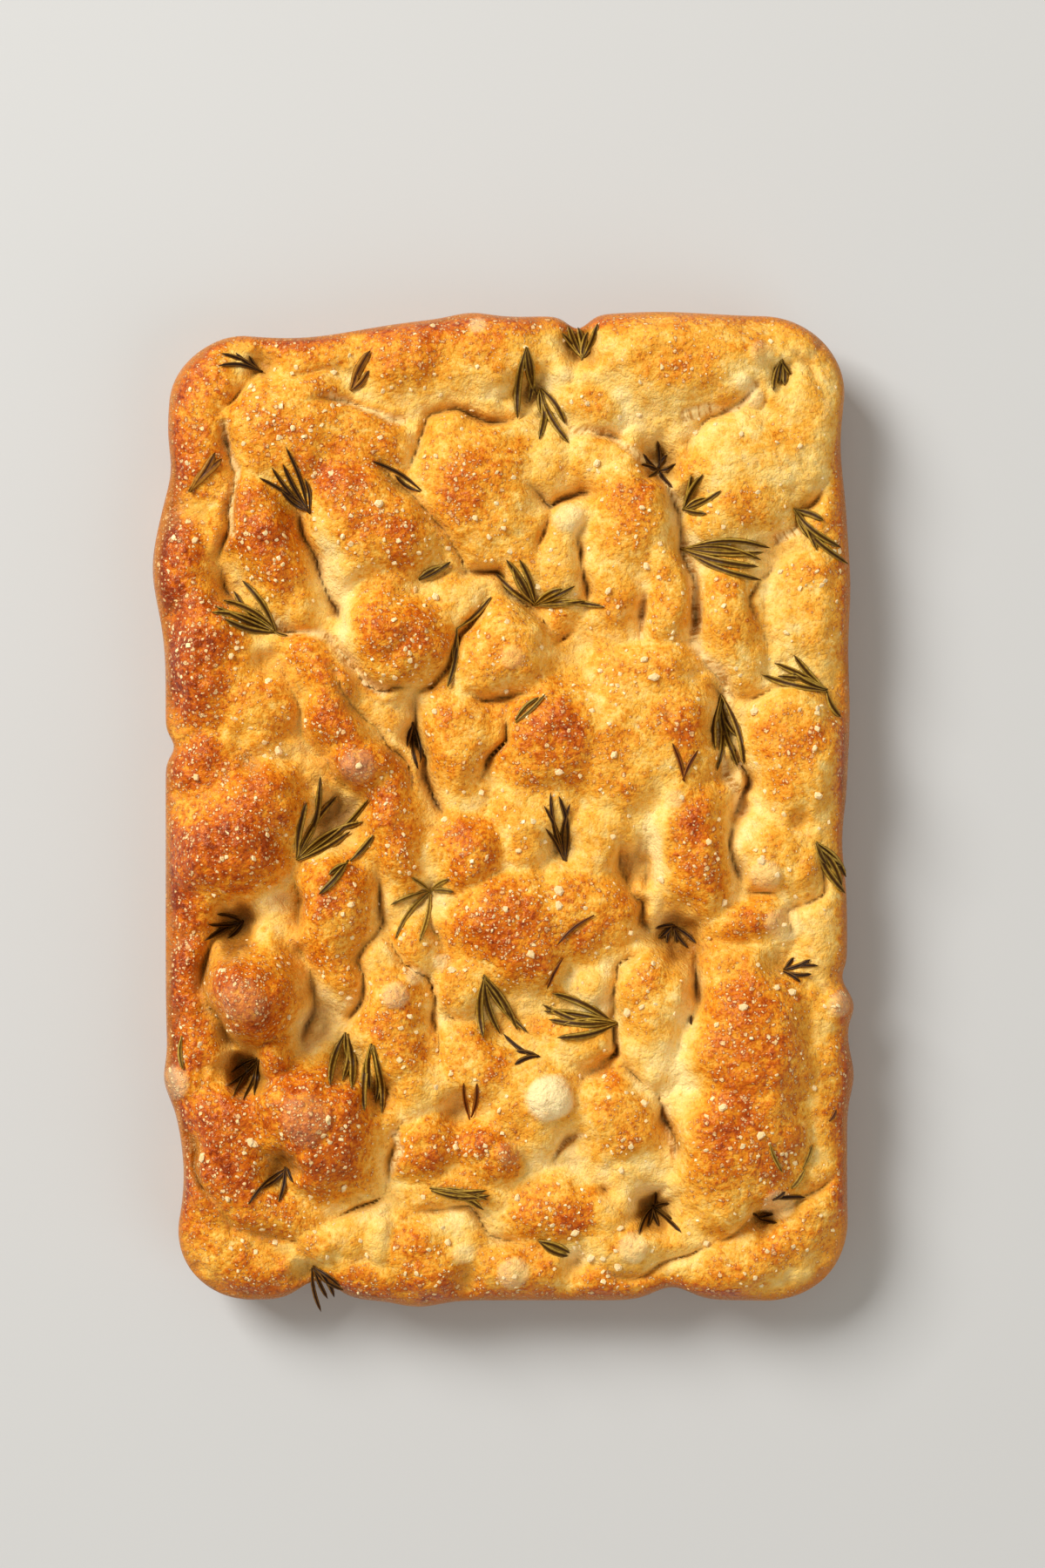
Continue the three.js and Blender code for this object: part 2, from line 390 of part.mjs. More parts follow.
function makeSlab() {
  const positions = [];
  const triangles = [];
  const top = (i, j) => j * (CELLS_ACROSS + 1) + i;
  for (let j = 0; j <= CELLS_ALONG; j += 1) {
    for (let i = 0; i <= CELLS_ACROSS; i += 1) {
      const u = spaced(i, CELLS_ACROSS);
      const v = spaced(j, CELLS_ALONG);
      const [x, y] = planPoint(u, v);
      const turn = turnOver(u, WIDTH / 2) * turnOver(v, LENGTH / 2);
      positions.push(x, y, SHOULDER + (averagedRelief(x, y) - SHOULDER) * turn);
    }
  }
  for (let j = 0; j < CELLS_ALONG; j += 1) {
    for (let i = 0; i < CELLS_ACROSS; i += 1) {
      const [a, b, c, d] = [top(i, j), top(i + 1, j), top(i + 1, j + 1), top(i, j + 1)];
      if ((i + j) % 2 === 0) {
        triangles.push(a, b, c, a, c, d);
      } else {
        triangles.push(a, b, d, b, c, d);
      }
    }
  }
  // The side: rings under the rim, drawn in towards the underside
  let ring = [];
  for (let i = 0; i < CELLS_ACROSS; i += 1) ring.push(top(i, 0));
  for (let j = 0; j < CELLS_ALONG; j += 1) ring.push(top(CELLS_ACROSS, j));
  for (let i = CELLS_ACROSS; i > 0; i -= 1) ring.push(top(i, CELLS_ALONG));
  for (let j = CELLS_ALONG; j > 0; j -= 1) ring.push(top(0, j));
  const rim = ring.map((index) => [positions[3 * index], positions[3 * index + 1]]);
  for (const [height, inset] of SIDE_RINGS) {
    const first = positions.length / 3;
    for (const [x, y] of rim) {
      positions.push(x * (1 - (2 * inset) / WIDTH), y * (1 - (2 * inset) / LENGTH), height);
    }
    const below = ring.map((_, k) => first + k);
    for (let k = 0; k < ring.length; k += 1) {
      const next = (k + 1) % ring.length;
      triangles.push(ring[k], below[k], below[next], ring[k], below[next], ring[next]);
    }
    ring = below;
  }
  const centre = positions.length / 3;
  positions.push(MIDDLE_X, 0, 0);
  for (let k = 0; k < ring.length; k += 1) triangles.push(centre, ring[(k + 1) % ring.length], ring[k]);
  return toGeometry(positions, triangles);
}

function toGeometry(positions, triangles) {
  const geometry = new THREE.BufferGeometry();
  geometry.setAttribute('position', new THREE.Float32BufferAttribute(positions, 3));
  geometry.setIndex(triangles);
  return geometry;
}

function toManifold(geometry) {
  const plain = new THREE.BufferGeometry();
  plain.setAttribute('position', geometry.getAttribute('position').clone());
  plain.setIndex(geometry.getIndex());
  const merged = mergeVertices(plain, 1e-4);
  const vertProperties = new Float32Array(merged.getAttribute('position').array);
  const triVerts = new Uint32Array(merged.getIndex().array);
  return new wasm.Manifold(new wasm.Mesh({ numProp: 3, vertProperties, triVerts }));
}

// The largest shell of a solid: a hollow that joining sealed is filled, and a loose scrap is dropped
function fromManifold(solid) {
  const shells = solid.decompose();
  const mesh = shells.reduce((a, b) => (a.volume() > b.volume() ? a : b)).getMesh();
  return toGeometry(Array.from(mesh.vertProperties), Array.from(mesh.triVerts));
}

// Reads the height of a solid's top by a ray from above
function heightReader(geometry) {
  const mesh = new THREE.Mesh(geometry, new THREE.MeshBasicMaterial({ side: THREE.DoubleSide }));
  const ray = new THREE.Raycaster();
  const down = new THREE.Vector3(0, 0, -1);
  return (x, y) => {
    ray.set(new THREE.Vector3(x, y, 100), down);
    const hits = ray.intersectObject(mesh);
    return hits.length ? hits[0].point.z : null;
  };
}

function nearestSprig(x, y) {
  let nearest = Infinity;
  for (const [, joint, tips] of SPRIGS) {
    for (const tip of tips) nearest = Math.min(nearest, distanceToLine(x, y, [joint, tip]));
  }
  return nearest;
}

// One squashed, uneven crystal of salt, sunk a third into the crust
function makeGrain(x, y, z, random) {
  const size = GRAIN_MIN + (GRAIN_MAX - GRAIN_MIN) * random() ** 2;
  const grain = new THREE.BoxGeometry(size, size * (0.6 + 0.3 * random()), size * (0.5 + 0.2 * random()));
  grain.deleteAttribute('normal');
  grain.deleteAttribute('uv');
  const block = mergeVertices(grain);
  const corners = block.getAttribute('position');
  for (let i = 0; i < corners.count; i += 1) {
    corners.setXYZ(
      i,
      corners.getX(i) * (0.75 + 0.3 * random()),
      corners.getY(i) * (0.75 + 0.3 * random()),
      corners.getZ(i) * (0.8 + 0.3 * random()),
    );
  }
  block.rotateX(0.5 * (random() - 0.5));
  block.rotateZ(2 * Math.PI * random());
  block.translate(x, y, z + 0.12 * size);
  return toManifold(block);
}

// Salt stands evenly over the top: a seeded draw, kept apart from other grains and from the rosemary
function scatterSalt(slab, heightAt) {
  const random = makeRandom(SALT_SEED);
  const kept = [];
  const grains = [];
  for (let tries = 0; tries < 4000 && grains.length < GRAINS; tries += 1) {
    const [x, y] = planPoint(1.84 * random() - 0.92, 1.88 * random() - 0.94);
    const apart = kept.every(([kx, ky]) => Math.hypot(x - kx, y - ky) > GRAIN_SPACING);
    if (apart && nearestSprig(x, y) > 4.5 && pillowRise(...wander(x, y)) > 3) {
      kept.push([x, y]);
      grains.push(makeGrain(x, y, heightAt(x, y), random));
    }
  }
  return wasm.Manifold.union([toManifold(slab), ...grains]);
}

// Lifts a needle's stations until every stretch of it clears the crust
function layOnCrust(points, width, heightAt) {
  const stations = points.map(([x, y]) => new THREE.Vector3(x, y, 0));
  let last = SHOULDER;
  const need = (x, y) => {
    const z = heightAt(x, y);
    last = z === null ? last : z;
    return last + CLEARANCE;
  };
  for (const station of stations) station.z = need(station.x, station.y);
  for (let k = 1; k < stations.length; k += 1) {
    const [from, to] = [stations[k - 1], stations[k]];
    const run = Math.hypot(to.x - from.x, to.y - from.y);
    const sideX = ((to.y - from.y) / run) * (width / 2);
    const sideY = (-(to.x - from.x) / run) * (width / 2);
    const samples = Math.ceil(run / SAMPLE_STEP);
    let lift = 0;
    for (let s = 0; s <= samples; s += 1) {
      const at = from.clone().lerp(to, s / samples);
      for (const side of [-1, 0, 1]) {
        lift = Math.max(lift, need(at.x + side * sideX, at.y + side * sideY) - at.z);
      }
    }
    from.z += lift;
    to.z += lift;
  }
  return stations;
}

// One needle or stem by itself: a three-sided section through the stations, ending in a point
function makeNeedle(stations, width) {
  const positions = [];
  const triangles = [];
  const last = stations.length - 1;
  stations.slice(0, last).forEach((station, k) => {
    const ahead = stations[k + 1];
    const run = Math.hypot(ahead.x - station.x, ahead.y - station.y);
    const half = (k === 0 ? BASE_TAPER : 1) * 0.5 * width;
    const sideX = ((ahead.y - station.y) / run) * half;
    const sideY = (-(ahead.x - station.x) / run) * half;
    positions.push(station.x - sideX, station.y - sideY, station.z);
    positions.push(station.x + sideX, station.y + sideY, station.z);
    positions.push(station.x, station.y, station.z + NEEDLE_HEIGHT);
  });
  const end = stations[last];
  positions.push(end.x, end.y, end.z + 0.3 * NEEDLE_HEIGHT);
  triangles.push(0, 1, 2);
  for (let k = 0; k < last - 1; k += 1) {
    const [left, right, ridge] = [3 * k, 3 * k + 1, 3 * k + 2];
    const [left2, right2, ridge2] = [left + 3, right + 3, ridge + 3];
    triangles.push(left, left2, right2, left, right2, right);
    triangles.push(left, ridge, ridge2, left, ridge2, left2);
    triangles.push(right, right2, ridge2, right, ridge2, ridge);
  }
  const [left, right, ridge, tip] = [3 * last - 3, 3 * last - 2, 3 * last - 1, 3 * last];
  triangles.push(left, tip, right, left, ridge, tip, right, tip, ridge);
  return toGeometry(positions, triangles);
}

// Turns needles that lie closer than the narrowest gap away from each other
function spreadApart(needles) {
  needles.sort((a, b) => a.angle - b.angle);
  for (let pass = 0; pass < SPREADING_PASSES; pass += 1) {
    for (let i = 1; i < needles.length; i += 1) {
      const lack = Math.max(0, NARROWEST_GAP - (needles[i].angle - needles[i - 1].angle));
      needles[i - 1].angle -= lack / 2;
      needles[i].angle += lack / 2;
    }
  }
}

// A fan of needles from one joint. Neighbours part where they are as wide as the gap between them,
// so the whole fan is one skin: flat below, with a ridge along each needle above.
function makeFan(joint, tips, width, heightAt) {
  const needles = tips.map((tip) => {
    const [dx, dy] = [tip[0] - joint[0], tip[1] - joint[1]];
    return { run: Math.hypot(dx, dy), angle: Math.atan2(dy, dx) };
  });
  spreadApart(needles);
  for (const needle of needles) {
    const reach = (radius) => [
      joint[0] + radius * Math.cos(needle.angle), joint[1] + radius * Math.sin(needle.angle),
    ];
    needle.laid = layOnCrust([joint, reach(WIDEST * needle.run), reach(needle.run)], width, heightAt);
  }
  const hubZ = Math.max(...needles.map(({ laid }) => laid[0].z));
  const at = (angle, radius, z) => [
    joint[0] + radius * Math.cos(angle), joint[1] + radius * Math.sin(angle), z,
  ];
  const parting = (before, after) => {
    const gap = (after.angle - before.angle + 2 * Math.PI) % (2 * Math.PI) || 2 * Math.PI;
    const apart = width / 2 / Math.sin(Math.min(gap, Math.PI) / 2);
    const radius = Math.min(apart, 0.5 * Math.min(before.run, after.run));
    const z = Math.max(...[before, after].map(({ laid, run }) => (
      hubZ + (laid[1].z - hubZ) * (radius / (WIDEST * run)))));
    return { gap, radius, point: at(before.angle + gap / 2, radius, z) };
  };
  const positions = [joint[0], joint[1], hubZ, joint[0], joint[1], hubZ + NEEDLE_HEIGHT];
  const triangles = [];
  const count = needles.length;
  const partings = needles.map((needle, i) => parting(needles[(i + count - 1) % count], needle));
  needles.forEach((needle, i) => {
    const [before, after] = [partings[i], partings[(i + 1) % count]];
    const radius = WIDEST * needle.run;
    const [, middle, end] = needle.laid;
    const halfOn = ({ gap }) => Math.min(width / 2, 0.9 * radius * Math.tan(Math.min(gap / 2, 1.4)));
    const turn = (side, half) => needle.angle + side * Math.atan(half / radius);
    const inner = Math.max(before.radius, after.radius) * 0.8;
    const innerZ = hubZ + (middle.z - hubZ) * (inner / radius);
    positions.push(
      ...before.point,
      ...at(turn(-1, halfOn(before)), radius, middle.z),
      end.x, end.y, end.z,
      ...at(turn(1, halfOn(after)), radius, middle.z),
      ...at(needle.angle, inner, innerZ + NEEDLE_HEIGHT),
      ...at(needle.angle, radius, middle.z + NEEDLE_HEIGHT),
    );
    const first = 2 + 6 * i;
    const [right, wideRight, tip, wideLeft, ridge, ridgeOut] = [0, 1, 2, 3, 4, 5].map((k) => first + k);
    const left = 2 + 6 * ((i + 1) % count);
    triangles.push(1, right, ridge, 1, ridge, left);
    triangles.push(right, wideRight, ridgeOut, right, ridgeOut, ridge);
    triangles.push(ridge, ridgeOut, wideLeft, ridge, wideLeft, left);
    triangles.push(wideRight, tip, ridgeOut, ridgeOut, tip, wideLeft);
    triangles.push(0, wideRight, right, 0, wideLeft, wideRight, 0, left, wideLeft);
    triangles.push(wideRight, wideLeft, tip);
  });
  return toGeometry(positions, triangles);
}

function makeSprig([kind, joint, tips], heightAt) {
  const { width } = LEAVES[kind];
  if (tips.length > 1) return makeFan(joint, tips, width, heightAt);
  const middle = joint.map((value, axis) => value + WIDEST * (tips[0][axis] - value));
  return makeNeedle(layOnCrust([joint, middle, tips[0]], width, heightAt), width);
}

function named(name, geometry, color, roughness) {
  const shaded = geometry.toNonIndexed();
  shaded.computeVertexNormals();
  const mesh = new THREE.Mesh(shaded, new THREE.MeshStandardMaterial({ color, roughness, metalness: 0 }));
  mesh.name = name;
  return mesh;
}

const slab = makeSlab();
const salted = fromManifold(scatterSalt(slab, heightReader(slab)));
const heightOnSalted = heightReader(salted);

const group = new THREE.Group();
group.add(named('bread', salted, '#dca25a', 0.6));
SPRIGS.forEach((sprig, index) => {
  const name = `rosemary_${String(index + 1).padStart(2, '0')}`;
  group.add(named(name, makeSprig(sprig, heightOnSalted), LEAVES[sprig[0]].color, 0.7));
});

// The origin goes to the middle of the box that holds bread and rosemary
const middle = new THREE.Box3().setFromObject(group).getCenter(new THREE.Vector3());
group.position.set(-middle.x, -middle.y, 0);
group.updateMatrixWorld(true);

export default group;
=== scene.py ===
import math
from functools import reduce

import bpy
import numpy as np
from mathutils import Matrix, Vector
from mathutils.bvhtree import BVHTree


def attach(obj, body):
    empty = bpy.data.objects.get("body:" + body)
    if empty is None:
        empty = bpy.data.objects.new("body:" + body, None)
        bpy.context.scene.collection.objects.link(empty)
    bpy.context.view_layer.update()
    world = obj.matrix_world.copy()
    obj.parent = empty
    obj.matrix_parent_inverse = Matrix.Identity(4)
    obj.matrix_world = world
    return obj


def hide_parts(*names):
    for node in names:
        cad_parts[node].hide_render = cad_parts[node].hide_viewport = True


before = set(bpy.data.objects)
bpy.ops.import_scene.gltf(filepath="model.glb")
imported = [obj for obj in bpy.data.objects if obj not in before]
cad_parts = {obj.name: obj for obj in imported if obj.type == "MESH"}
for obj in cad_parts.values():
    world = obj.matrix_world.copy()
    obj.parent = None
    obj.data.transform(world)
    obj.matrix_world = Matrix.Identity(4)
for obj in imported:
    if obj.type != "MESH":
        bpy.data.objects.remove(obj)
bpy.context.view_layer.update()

# Rosemary focaccia. The tables and the rules below are in millimetres and in the plan's own coordinates, as
# the bread was measured; to_frame() carries them to the frame, in metres.
MM = 0.001
TINY = 1e-9
PLAN_TO_FRAME = (0.009, 1.001)  # the plan's origin in the frame

# Size of the slab, mm
WIDTH = 210.0
LENGTH = 303.0
CORNER = 26.0
MIDDLE_X = 1.0
SHOULDER = 20.0
ROUNDING = 11.0
FLOOR_OF_DOUGH = 20.0

# How the pillows swell and meet
RISE_SCALE = 1.6
FALL = 0.62
FALL_POWER = 1.8
BLEND = 0.6
SKIRT_RISE = 0.5        # a pillow also lifts the dough round it, by this share of its rise
SKIRT_REACH = 1.5
SKIRT_HIGHEST = 6.5
FOLD_CREASE = 1.5       # depth of the sharp part of a fold, as a share of its depth
FOLD_TAPER = 7.0        # length over which a fold's ends run out
PIT_DEPTH = 1.25
PLEATS = 0.16           # folds that run into a pit, as a share of its depth
SEAM_DEPTH = 1.2        # crease where two pillows meet
SEAM_WIDTH = 1.1        # difference in height at which it has faded
TEAR_DEPTH = 0.9
WEB_LEVEL = (2.0, 9.0)  # rise of the pillows at which the webs of the valleys are strongest and gone

# Fineness of the crust's mesh
CELLS_ACROSS = 232
CELLS_ALONG = 336
SIDE_STEPS = 12
RIM_DENSITY = 0.15

# Pillows: x, y, half length, half width, turn in degrees, rise, how far baked (0 pale, 1 dark)
PILLOWS = [
    (-92, 119, 25, 12.5, 88, 5, 0.66), (-60, 140, 18, 8, 2, 4.5, 0.62), (-65, 115, 22, 19, 100, 8.5, 0.6),
    (-42, 111, 13, 11, 0, 7, 0.6), (-86, 84, 9, 6, 95, 5.5, 0.62), (-24, 139, 19, 14, 5, 7, 0.75),
    (-1, 140, 12, 14, 90, 7, 0.48), (17, 138, 7, 9, 90, 5, 0.1), (54, 137, 32, 16, -3, 9, 0.28),
    (92, 120, 34, 13, 98, 6, 0.2), (74, 107, 20, 16, 10, 8, 0.2), (27, 124, 14, 6, -38, 6, 0.4),
    (41, 145, 18, 9, 0, 6, 0.45), (-8, 98, 25, 20, 105, 9, 0.55), (14, 105, 12, 6, 80, 5.5, 0.18),
    (27, 107, 10, 8, 60, 5.5, 0.3), (40, 90, 20, 14.5, 105, 9, 0.5), (9, 81, 12, 12, 0, 6.5, 0.35),
    (-40, 88, 21, 17, -42, 10.5, 0.68), (-35, 69, 10, 9, 0, 6.5, 0.5), (-32, 51, 19, 14.5, 5, 11, 0.84),
    (-74, 83, 22, 10, 112, 9, 0.9), (-63, 65, 14, 5, 110, 6.5, 0.38), (-56, 64, 12, 5, 105, 3, 0.02),
    (-17, 63, 10, 9, 0, 5.5, 0.2), (1, 48, 15.5, 15.5, 0, 10, 0.5), (33, 68, 17, 8.5, 88, 7.5, 0.36),
    (50, 66, 17, 8, 93, 8.5, 0.48), (19, 77, 19, 7, 92, 6.5, 0.2), (71, 58, 21, 10, 95, 8, 0.38),
    (95, 62, 21, 12, 90, 6, 0.3), (73, 91, 15, 10, 5, 7.5, 0.34), (99, 87, 10, 7, 90, 4.5, 0.45),
    (20, 89, 6, 6, 0, 5, 0.05), (-90, 45, 21, 13, 85, 8, 1), (-98, 73, 13, 10, 80, 5, 0.75),
    (-74, 31, 16, 13, 90, 7, 0.56), (-90, 11, 11, 12, 0, 5.5, 0.85), (-73, 4, 13, 12, 20, 10, 0.92),
    (-83, -11, 17, 16, 60, 11, 1), (-53, 32, 22, 8, -60, 9.5, 0.88), (-44, 14, 8.5, 8.5, 0, 9.5, 1),
    (-34, -3, 19, 8.5, -80, 8.5, 0.88), (-42, 31, 11, 7, -30, 4.5, 0.3), (-13, 20, 18, 12.5, 95, 8, 0.52),
    (15, 22, 18, 17, 0, 10, 0.82), (37, 18, 26, 15, 90, 9, 0.4), (52, 21, 22, 13, 95, 9, 0.62),
    (9, -1, 12, 13, 0, 7, 0.32), (59, -12, 22, 13, 95, 9.5, 0.7), (47, 44, 12, 8, 0, 8, 0.48),
    (91, 17, 21, 15.5, 95, 8.5, 0.46), (84, -16, 14, 12, 90, 7, 0.38), (75, -12, 13, 4.5, 90, 4.5, 0.3),
    (99, -6, 9, 7, 90, 4.5, 0.12), (-11, -13, 11.5, 10.5, 90, 9, 0.88), (2, -37, 19, 18, 0, 10, 0.86),
    (25, -33, 15, 14, 0, 8.5, 0.58), (8, -10, 10, 10, 0, 7, 0.35), (28, -10, 12, 10, 90, 7, 0.28),
    (-52, -30, 17, 13, 70, 9.5, 0.78), (-52, -46, 10, 7, 100, 7, 0.55), (-95, -27, 12, 9, 90, 4.5, 0.7),
    (-95, -53, 13, 9, 90, 4.5, 0.75), (-76, -56, 14.5, 13, 90, 16.5, 1), (-68, -76, 9, 6.5, 100, 10, 0.9),
    (-56, -98, 21, 17.5, -25, 13, 0.95), (-67, -92, 12, 11, 0, 11, 0.8), (-85, -106, 23, 13, 97, 8, 0.95),
    (-73, -122, 17, 9, -12, 6.5, 0.75), (-97, -116, 18, 6, -78, 3.5, 0.9), (-80, -138, 18, 8, -28, 4.5, 0.7),
    (-98, -83, 7, 6.5, 0, 5, 0.2), (-95, -70, 9, 8, 0, 4, 0.62), (-25, -43, 10.5, 7, 82, 7, 0.42),
    (-34, -68, 22, 12.5, 98, 8.5, 0.55), (-38, -45, 8, 7, 0, 5.5, 0.16), (-12, -55, 9.5, 9, 0, 6.5, 0.38),
    (-7, -78, 15, 11, -50, 8, 0.6), (10, -90, 16, 13, 90, 8.5, 0.38), (22, -71, 13, 8.5, -15, 7, 0.3),
    (29, -55, 7.5, 7, 0, 6.5, 0.1), (46, -58, 18, 11, 95, 9, 0.38), (45, -77, 11, 9, 0, 7, 0.1),
    (76, -72, 25, 18.5, 90, 12, 0.86), (72, -100, 23, 20, 80, 12, 0.86), (67, -117, 15, 13, 0, 9, 0.5),
    (75, -35, 15, 7.5, 0, 7, 0.62), (73, -48, 14, 8, 0, 7.5, 0.45), (98, -36, 16, 9, 90, 5.5, 0.12),
    (103, -61, 7, 6.5, 0, 5, 0.35), (100, -88, 20, 8, 90, 5.5, 0.5), (94, -122, 19, 11, 60, 6, 0.5),
    (74, -138, 22, 9.5, 14, 6.5, 0.52), (-24, -104, 11.5, 9.5, 90, 8.5, 0.88),
    (-5, -105, 11.5, 9.5, 0, 8.5, 0.88), (-15, -118, 16, 6.5, 0, 6, 0.42), (-25, -86, 12, 9, 0, 6.5, 0.22),
    (34, -95, 15, 11.5, -35, 8.5, 0.5), (18, -123, 19, 10.5, 0, 7.5, 0.66), (34, -123, 6.5, 6.5, 0, 7, 0.12),
    (42, -108, 11, 9, 0, 5.5, 0.12), (37, -134, 14, 9, -8, 6.5, 0.22), (55, -131, 9, 10, 0, 5, 0.08),
    (3, -142, 17, 10, 0, 5.5, 0.42), (-23, -138, 14, 12, -20, 7, 0.66), (-14, -130, 10, 6, 0, 5, 0.12),
    (-48, -131, 12, 8.5, 20, 6, 0.22), (-57, -133, 7.5, 7.5, 0, 6.5, 0.48), (-42, -145, 15, 7, -3, 5, 0.48),
    (-37, -134, 5.5, 6.5, 0, 7, 0.12), (33, -146, 18, 6, 2, 5, 0.45),
]

# Folds: depth, half width and the line of each
GROOVES = [
    (4, 2.5, [(-84, 119), (-85, 110), (-84, 97), (-85, 88), (-88, 75), (-84, 66), (-73, 58), (-62, 52)]),
    (2, 2, [(-70, 134.5), (-58, 134.5), (-46, 132)]),
    (2.5, 2, [(-58, 126), (-46, 123), (-34, 119.5), (-29, 117)]),
    (4, 2, [(-29, 104), (-27, 113), (-22, 119), (-14, 122), (4, 121)]),
    (4, 1.8, [(-41, 107), (-27, 98), (-19, 85), (-12, 71.5), (-2, 71), (6, 65), (13, 58), (17, 52)]),
    (4, 1.8, [(-4, 65), (-14, 56), (-16, 45), (-19, 38), (-25, 36)]),
    (5, 2.6, [(-25, 36), (-27.5, 25), (-25, 11), (-20, 0), (-17, -6)]),
    (4, 1.8, [(-9, 37), (-5, 32.5), (1, 31), (8, 33)]),
    (3.5, 1.6, [(1, 31), (0, 20), (-6, 8)]),
    (4.5, 2.4, [(-62, 93), (-60, 83), (-57, 72), (-51, 62), (-50, 55)]),
    (4, 2.2, [(-53, 50), (-44, 40), (-36, 38), (-28, 38)]),
    (4.6, 2.8, [(-87, -41), (-91.5, -51), (-91, -62), (-85, -71), (-79, -74)]),
    (4, 2.4, [(-70, 47), (-64, 34), (-59, 21), (-51, 9), (-45, 1)]),
    (3.5, 2, [(-57, 43), (-48, 33), (-39, 25), (-32, 15), (-28, 4)]),
    (4, 2.2, [(-66, -22), (-65, -33), (-63, -41)]),
    (3.8, 2.8, [(-64, -40), (-60, -49), (-60, -60), (-61, -68), (-57, -76)]),
    (3.5, 2, [(-38, -18), (-36, -34), (-44, -43), (-45, -53), (-48, -68)]),
    (3, 1.6, [(-35, -38), (-31, -49), (-23, -53.5), (-20, -60), (-19, -78)]),
    (2.5, 1.6, [(-20, -60), (-12, -64), (-5, -64)]),
    (2.5, 1.6, [(-22, -32), (-17, -46)]),
    (3, 2, [(-98, -97), (-90, -116), (-80, -129), (-66, -133), (-58, -142)]),
    (3, 1.8, [(-57, -125), (-46, -123), (-34, -121)]),
    (3, 2, [(-31, -97), (-33, -110), (-36, -119)]),
    (3, 2, [(-26, -122.5), (-12, -123), (-5, -130), (9, -135)]),
    (4, 1.8, [(23, -97), (15, -109)]),
    (2, 1.8, [(30, -143.5), (45, -143), (63, -133.5)]),
    (3, 1.8, [(30, -112), (37, -121)]),
    (4, 2.2, [(48, -87), (48, -94), (53, -103), (53, -110)]),
    (4, 2.2, [(60, -44), (58, -58), (57, -66)]),
    (4, 1.8, [(45, -40), (38, -47), (34, -60), (35, -77), (29, -79)]),
    (3, 1.8, [(36, -79), (47, -87)]),
    (4, 2, [(36, -8), (36, -20), (41, -27), (41, -33), (46, -39)]),
    (3, 2, [(44, -12), (44, -20), (41, -27)]),
    (2, 1.5, [(62, -42.5), (82, -40.5)]),
    (2.5, 1.6, [(90, -41), (89, -33), (97, -26), (96, -17)]),
    (4, 2.2, [(61, 38), (66, 31), (71, 19), (74, 6), (72, -2), (72, -14), (72, -25)]),
    (2.5, 1.8, [(72, -25), (79, -27), (86, -29.5)]),
    (3, 2, [(56, 50), (64, 40), (70, 33), (82, 36), (90, 38)]),
    (4, 2.2, [(50, 102), (56, 91), (55, 78), (58, 66), (59, 52)]),
    (3, 2, [(42, 108), (34, 113), (27, 116)]),
    (2.5, 1.8, [(55, 106), (57, 114), (64, 121), (72, 125), (79, 131)]),
    (4, 1.6, [(8, 97.5), (14, 91.5), (21, 97), (29, 99)]),
    (3.5, 1.6, [(14, 91.5), (13, 80)]),
    (4, 1.6, [(24, 85), (25, 72), (25.5, 61)]),
    (4, 1.6, [(41, 63), (43, 54)]),
    (3, 1.6, [(49, 34), (52, 28)]),
    (3, 1.8, [(82, 72), (77, 65), (81, 57), (81, 45)]),
    (3, 2, [(83, 80), (91, 90), (101, 98)]),
    (2.5, 1.6, [(29, 47), (35, 46)]),
    (3.5, 1.8, [(14, 50), (23, 54)]),
    (2.5, 1.8, [(88, 142), (95, 136), (100, 127)]),
    (3, 2, [(6, 122), (13, 121), (22, 115)]),
    (3, 1.8, [(-77, 132), (-86, 122)]),
    (3, 2, [(63, -133), (76, -127), (88, -121), (98, -112)]),
]

# Finger pits: x, y, reach, depth
PITS = [
    (-74, 136, 5, 5), (24, 142, 6, 8), (86, 133, 4, 3.5), (8, 128, 6, 5), (-84, 67, 7, 3), (48, 106, 6.5, 7),
    (57, 95, 4.5, 4), (67, 24, 5.5, 6), (68, 12, 4.5, 4), (-73, 44, 4.5, 3.5), (-77, 14, 4.5, 4),
    (-51, -3, 9, 6), (-65, -29, 3.5, 3), (-81.5, -34.5, 5.8, 9.5), (-83, -42, 5.5, 6), (-79.5, -81.5, 6, 12),
    (-67, -109, 5.5, 6.5), (-38, -88, 5, 6), (-48, -79, 6, 5), (-56, -66, 7, 3), (-14, -93, 5, 4),
    (22, -141, 4.5, 3), (-12, -145, 4.5, 3), (46.5, -124, 6, 9.5), (54, -39, 8.5, 8.5), (40, -17, 6, 4.5),
    (85, -48, 4.5, 4), (80, -126, 5, 5), (18, -12, 5, 4.5), (0, -67, 5, 3), (10, 62, 5, 2.5),
    (-60, -143, 4, 4), (29, -80, 4, 3), (84, 79, 5, 3), (22, 51, 7, 2.5), (20, -101, 3, 2), (-28, 22, 4, 2.5),
    (74, 0, 3.5, 3), (58, -56, 3.5, 2.5), (91, -4, 3, 2.5), (-24, -27, 4, 3),
]

# Swellings and dents of the rim: x, y, reach, how far out
BULGES = [
    (-104, 74, 17, 4), (-104, -113, 26, -5.5), (-104, 104, 9, -1.5), (-104, 19, 4, -2.5), (-104, -84, 7, 2),
    (106, 68, 14, 1), (106, -10, 12, -1.5), (106, -61, 5, 2), (106, -52, 4, -1.5), (106, -82, 8, 2),
    (106, 112, 16, -2), (-66, 151.5, 32, -6.5), (23, 151.5, 4.5, -4), (48, 151.5, 22, 1.5),
    (-57, -151.5, 8, -6), (-26, -151.5, 9, 2), (52, -151.5, 8, -4), (-10, 151.5, 8, 1.5), (98, -142, 14, 1),
    (-92, 140, 14, -2), (106, 30, 16, 0.8),
]

